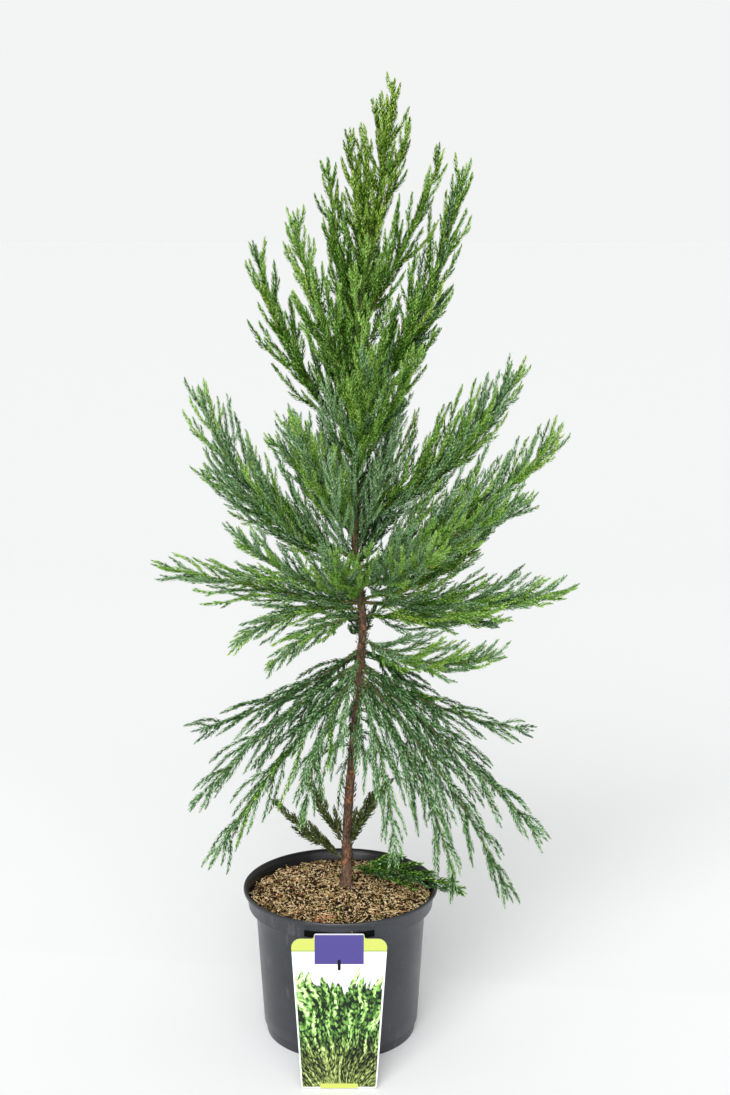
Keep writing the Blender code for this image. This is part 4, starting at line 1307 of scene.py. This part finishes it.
def build_limbs():
    """The wood of every bough, from inside its collar to where needles hide it."""
    runs = []
    for bough in BOUGHS:
        path = bough_path(bough)
        shares = np.linspace(0.0, 0.86, 20)
        line = np.array([along(path, s)[0] for s in shares])
        radii = np.array([stem_radius(bough, s) for s in shares])
        knots = [noise.noise(Vector((bough.azimuth, bough.height, s * 14))) for s in shares]
        radii = radii * (1 + 0.16 * np.array(knots)) + 0.0006 * np.exp(-shares * 22)
        runs.append((line, radii, 8, 0))
    item = tubes("bough_wood", runs, [young_bark])
    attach(item, "root")
    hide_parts(*[name + "_limb" for name in LIMBED])


def build_old_needles():
    """Dry and old needles that still stand on the trunk."""
    rng = np.random.default_rng(23)
    heights = TRUNK_FOOT + 0.03 + (0.70 - TRUNK_FOOT) * rng.random(OLD_NEEDLES)
    turn = rng.random(OLD_NEEDLES) * 2 * math.pi
    places, turns, slots = [], [], []
    for z, a in zip(heights, turn):
        out = Vector((math.cos(a), math.sin(a), 0))
        up = Vector((0, 0, 1))
        size = rng.uniform(0.004, 0.009)
        stand = rng.uniform(0.7, 1.6)
        places.append(trunk_point(z) + out * trunk_radius(z) * 0.92)
        turns.append(
            np.array([out * size * stand, out.cross(up) * size * 0.8, up * size]).T
        )
        green = z > 0.5 and rng.random() < 0.5
        slots.append(1 if green else rng.choice([FIRST["dry"], FIRST["olive"]]))
    item = copies(
        "trunk_old_needles", needle, np.array(turns), np.array(places), np.array(slots), needle_looks
    )
    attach(item, "root")
    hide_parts("trunk")


def arc(center, radius, start, end, count):
    """Points round an arc, its ends included, from one angle to another in degrees."""
    points = []
    for i in range(count + 1):
        turn = math.radians(start + (end - start) * i / count)
        points.append((center[0] + radius * math.cos(turn), center[1] + radius * math.sin(turn)))
    return points


def tag_outline():
    """The card's outline from its foot, anticlockwise, with round shoulders and a raised tab."""
    top = TAG_LENGTH
    half_top = TAG_TOP_WIDTH / 2
    half_foot = TAG_BOTTOM_WIDTH / 2
    half_tab = TAG_TAB_WIDTH / 2
    bend = TAG_TAB_HEIGHT * 0.45
    right = arc((half_foot - 0.003, 0.003), 0.003, -90, 0, 4)
    right += arc((half_top - TAG_CORNER, top - TAG_CORNER), TAG_CORNER, 0, 90, 10)
    right += arc((half_tab + bend, top + bend), bend, 270, 180, 5)
    right += arc((half_tab - bend, top + TAG_TAB_HEIGHT - bend), bend, 0, 90, 5)
    return right + [(-x, y) for x, y in reversed(right)]


def add_loop(curve, points):
    """A closed flat spline through the points."""
    spline = curve.splines.new("POLY")
    spline.points.add(len(points) - 1)
    for corner, (x, y) in zip(spline.points, points):
        corner.co = (x, y, 0, 1)
    spline.use_cyclic_u = True


def print_slot(x, y):
    """Which print covers a place on the card's face."""
    side = TAG_BOTTOM_WIDTH / 2 + (TAG_TOP_WIDTH - TAG_BOTTOM_WIDTH) / 2 * y / TAG_LENGTH
    if abs(x) < BANNER_HALF_WIDTH and y > BANNER_FOOT:
        return 3 if y > BANNER_FOLD else 2
    if y > HEADER_FOOT:
        return 1
    if y > HEADER_FOOT - HEADER_EDGE:
        return 5
    if abs(x) < STRIP_HALF_WIDTH and y < STRIP_TOP:
        return 1
    if PANEL_FOOT < y < PANEL_TOP and abs(x) < side - PANEL_MARGIN:
        return 4
    return 0


def build_tag():
    """The tag: a coated card cut into its print's fields, leaning from the slot on its tongue."""
    curve = bpy.data.curves.new("tag_outline", "CURVE")
    curve.dimensions = "2D"
    curve.fill_mode = "BOTH"
    curve.extrude = TAG_THICKNESS / 2
    add_loop(curve, tag_outline())
    hole = TAG_LENGTH + TAG_TAB_HEIGHT - TAG_HOLE_DROP
    half = TAG_HOLE_WIDTH / 2
    straight = TAG_HOLE_LENGTH - TAG_HOLE_WIDTH
    add_loop(curve, arc((0, hole), half, 0, -180, 8) + arc((0, hole + straight), half, 180, 0, 8))
    item = bpy.data.objects.new("tag_card", curve)
    bpy.context.scene.collection.objects.link(item)
    bpy.ops.object.select_all(action="DESELECT")
    bpy.context.view_layer.objects.active = item
    item.select_set(True)
    bpy.ops.object.convert(target="MESH")
    bpy.ops.object.mode_set(mode="EDIT")
    closed_by_ops()
    slant = math.atan2((TAG_TOP_WIDTH - TAG_BOTTOM_WIDTH) / 2, TAG_LENGTH)
    margin = TAG_BOTTOM_WIDTH / 2 - PANEL_MARGIN / math.cos(slant)
    cuts = [((0, y, 0), (0, 1, 0)) for y in (
        HEADER_FOOT, HEADER_FOOT - HEADER_EDGE, BANNER_FOOT, BANNER_FOLD, PANEL_TOP, PANEL_FOOT, STRIP_TOP
    )]
    for sign in (-1, 1):
        cuts.append(((sign * BANNER_HALF_WIDTH, 0, 0), (1, 0, 0)))
        cuts.append(((sign * STRIP_HALF_WIDTH, 0, 0), (1, 0, 0)))
        cuts.append(((sign * margin, 0, 0), (sign * math.cos(slant), -math.sin(slant), 0)))
    for place, square in cuts:
        bpy.ops.mesh.select_all(action="SELECT")
        bpy.ops.mesh.bisect(plane_co=place, plane_no=square)
    bpy.ops.object.mode_set(mode="OBJECT")
    looks = [
        card_material("card_white", (0.755, 0.775, 0.765)),
        card_material("card_lime", (0.455, 0.510, 0.082)),
        card_material("card_violet", (0.031, 0.017, 0.188)),
        card_material("card_lavender", (0.520, 0.500, 0.700)),
        leaf_panel_material(),
        card_material("card_lime_shade", (0.230, 0.300, 0.060)),
    ]
    for look in looks:
        item.data.materials.append(look)
    for face in item.data.polygons:
        if face.normal.z > 0.9:
            face.material_index = print_slot(face.center.x, face.center.y)
        elif abs(face.normal.z) < 0.5:
            face.material_index = 0
    lean = math.radians(TAG_LEAN)
    reach = TAG_LENGTH + TAG_TAB_HEIGHT
    foot_z = TAG_FOOT_CLEARANCE + TAG_THICKNESS / 2 * math.sin(lean)
    top_z = foot_z + reach * math.cos(lean)
    share = (top_z - BAND_BOTTOM) / (POT_HEIGHT - LIP_DEPTH - BAND_BOTTOM)
    band = BAND_BOTTOM_RADIUS + (BAND_TOP_RADIUS - BAND_BOTTOM_RADIUS) * share
    top_y = -(band + GAP + TAG_THICKNESS / 2 * math.cos(lean))
    item.data.transform(
        Matrix.Translation((0, top_y - reach * math.sin(lean), foot_z))
        @ Matrix.Rotation(math.pi / 2 - lean, 4, "X")
    )
    height = SLOT_BOTTOM + GAP + TONGUE_THICKNESS / 2
    face_y = top_y - (top_z - height) * math.tan(lean)
    end_y = -(BAND_BOTTOM_RADIUS - WALL + GAP)
    bpy.ops.mesh.primitive_cube_add(size=1)
    tongue = bpy.context.object
    bpy.ops.object.mode_set(mode="EDIT")
    bpy.ops.mesh.select_all(action="SELECT")
    bpy.ops.transform.resize(
        value=(TONGUE_WIDTH, end_y - face_y, TONGUE_THICKNESS), center_override=(0, 0, 0)
    )
    bpy.ops.transform.translate(value=(0, (face_y + end_y) / 2, height))
    bpy.ops.mesh.bevel(offset=0.0004, segments=2, affect="EDGES")
    bpy.ops.object.mode_set(mode="OBJECT")
    tongue.data.materials.append(looks[0])
    bpy.ops.object.select_all(action="DESELECT")
    tongue.select_set(True)
    item.select_set(True)
    bpy.context.view_layer.objects.active = item
    bpy.ops.object.join()
    bpy.ops.object.select_all(action="DESELECT")
    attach(item, "root")
    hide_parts("plant_tag")


STOREYS = {
    "foot_shoots": ("foot", "rim"),
    "low_boughs": ("low",),
    "mid_left_boughs": ("mid_left", "mid_back_left"),
    "mid_right_boughs": ("mid_right", "mid_front", "mid_back"),
    "high_boughs": ("high",),
    "crown_boughs": ("top", "crown", "leader"),
}


def storey_of(name):
    for storey, starts in STOREYS.items():
        for start in starts:
            if name.startswith(start):
                if storey == "mid_right_boughs" and name == "mid_back_left":
                    continue
                return storey


needle = needle_shape()
build_pot()
build_mix()
build_chips()
build_trunk()
build_limbs()
build_old_needles()
build_tag()
storeys = {name: [] for name in STOREYS}
for bough in list(BOUGHS) + [LEADER]:
    storeys[storey_of(bough.name)].append((bough, *grown(bough)))
storeys["crown_boughs"].append((LEADER, HABITS["high"], trunk_shoots(CROWN_FRINGE, "trunk")))
hanging = next(bough for bough in BOUGHS if bough.name == "low_right_front")
storeys["low_boughs"].append((hanging, HABITS["low"], trunk_shoots(LOW_FRINGE, "hanging")))

total_needles = 0
for storey, boughs in storeys.items():
    places, turns, slots, runs = [], [], [], []
    for bough, habit, shoots in boughs:
        rng = np.random.default_rng(sum(map(ord, bough.name)))
        for shoot in shoots:
            spot, turn, light = needle_rows(shoot, habit, rng)
            places.append(spot)
            turns.append(turn)
            shade = shades(light, shoot.sort)
            slots.append(shade)
            line = shoot.points[:: 2 if len(shoot.points) == 9 else 4]
            radii = np.linspace(shoot.root_radius, shoot.tip_radius, len(line))
            tone = int(np.median(shade))
            runs.append((line, radii, 3, int(max(tone - 2, DARKEST[tone]))))
    places = np.concatenate(places)
    turns = np.concatenate(turns)
    slots = np.concatenate(slots)
    total_needles += len(places)
    nodes = sorted({row[0].name + "_foliage" for row in boughs})
    parts = math.ceil(len(places) * len(needle[1]) / 195000)
    for k in range(parts):
        pick = slice(len(places) * k // parts, len(places) * (k + 1) // parts)
        name = storey + "_needles" + ("" if parts == 1 else "_%d" % (k + 1))
        tones = face_slots_with_painted_shade(slots[pick], needle[1])
        item = copies(name, needle, turns[pick], places[pick], tones, needle_looks)
        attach(item, "root")
        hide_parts(*nodes)
    item = tubes(storey + "_twigs", runs, needle_looks)
    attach(item, "root")
    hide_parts(*nodes)
    print(storey, len(places), parts, len(runs))
print("needles", total_needles)

# The stage
def floor_material():
    """A white floor that turns a shade greyer behind the pot, where the photograph has its wall."""
    look = Look("studio_floor", 0.9, 0.1)
    split = add(look.tree, "SeparateXYZ", {"Vector": look.place})
    line = look.math("SUBTRACT", split.outputs[1], FLOOR_LINE)
    line = look.math("ADD", line, look.math("MULTIPLY", split.outputs[0], FLOOR_LINE_TURN))
    back = look.between(line, -0.004, 0.004)
    far = look.between(split.outputs[1], 0.2, 2.5)
    look.color(look.blend(back, FLOOR_NEAR, look.blend(far, FLOOR_BEHIND, FLOOR_FAR)))
    return look.material


bpy.ops.mesh.primitive_plane_add(size=80)
ground = bpy.context.object
ground.name = "studio_floor"
ground.data.materials.append(floor_material())

world = bpy.data.worlds.new("studio")
world.use_nodes = True
sky = world.node_tree
light_path = sky.nodes.new("ShaderNodeLightPath")
tint = add(sky, "Mix", {"Factor": light_path.outputs["Is Camera Ray"]}, data_type="RGBA")
tint.inputs[6].default_value = (*WORLD_LIGHT, 1.0)
tint.inputs[7].default_value = (*WALL_TONE, 1.0)
sky.links.new(tint.outputs[2], sky.nodes["Background"].inputs["Color"])
sky.nodes["Background"].inputs["Strength"].default_value = 1.0
bpy.context.scene.world = world
bpy.context.scene.view_settings.view_transform = "Standard"


def soft_sun(name, place, strength, spread):
    """A broad studio light with no fall-off, shining from a place to the origin."""
    lamp = bpy.data.lights.new(name, "SUN")
    lamp.energy = strength
    lamp.angle = math.radians(spread)
    item = bpy.data.objects.new(name, lamp)
    item.rotation_euler = Vector(place).to_track_quat("Z", "Y").to_euler()
    bpy.context.scene.collection.objects.link(item)
    return item


soft_sun("key_light", (-0.5, -1.7, 1.05), 2.70, 44)
soft_sun("fill_light", (0.45, -1.8, 0.60), 1.22, 44)

view = bpy.data.cameras.new("camera")
view.lens = CAMERA_LENS
view.sensor_width = 36
camera = bpy.data.objects.new("camera", view)
camera.location = CAMERA_PLACE
camera.rotation_euler = (math.radians(90 - CAMERA_PITCH), 0, 0)
bpy.context.scene.collection.objects.link(camera)
bpy.context.scene.camera = camera
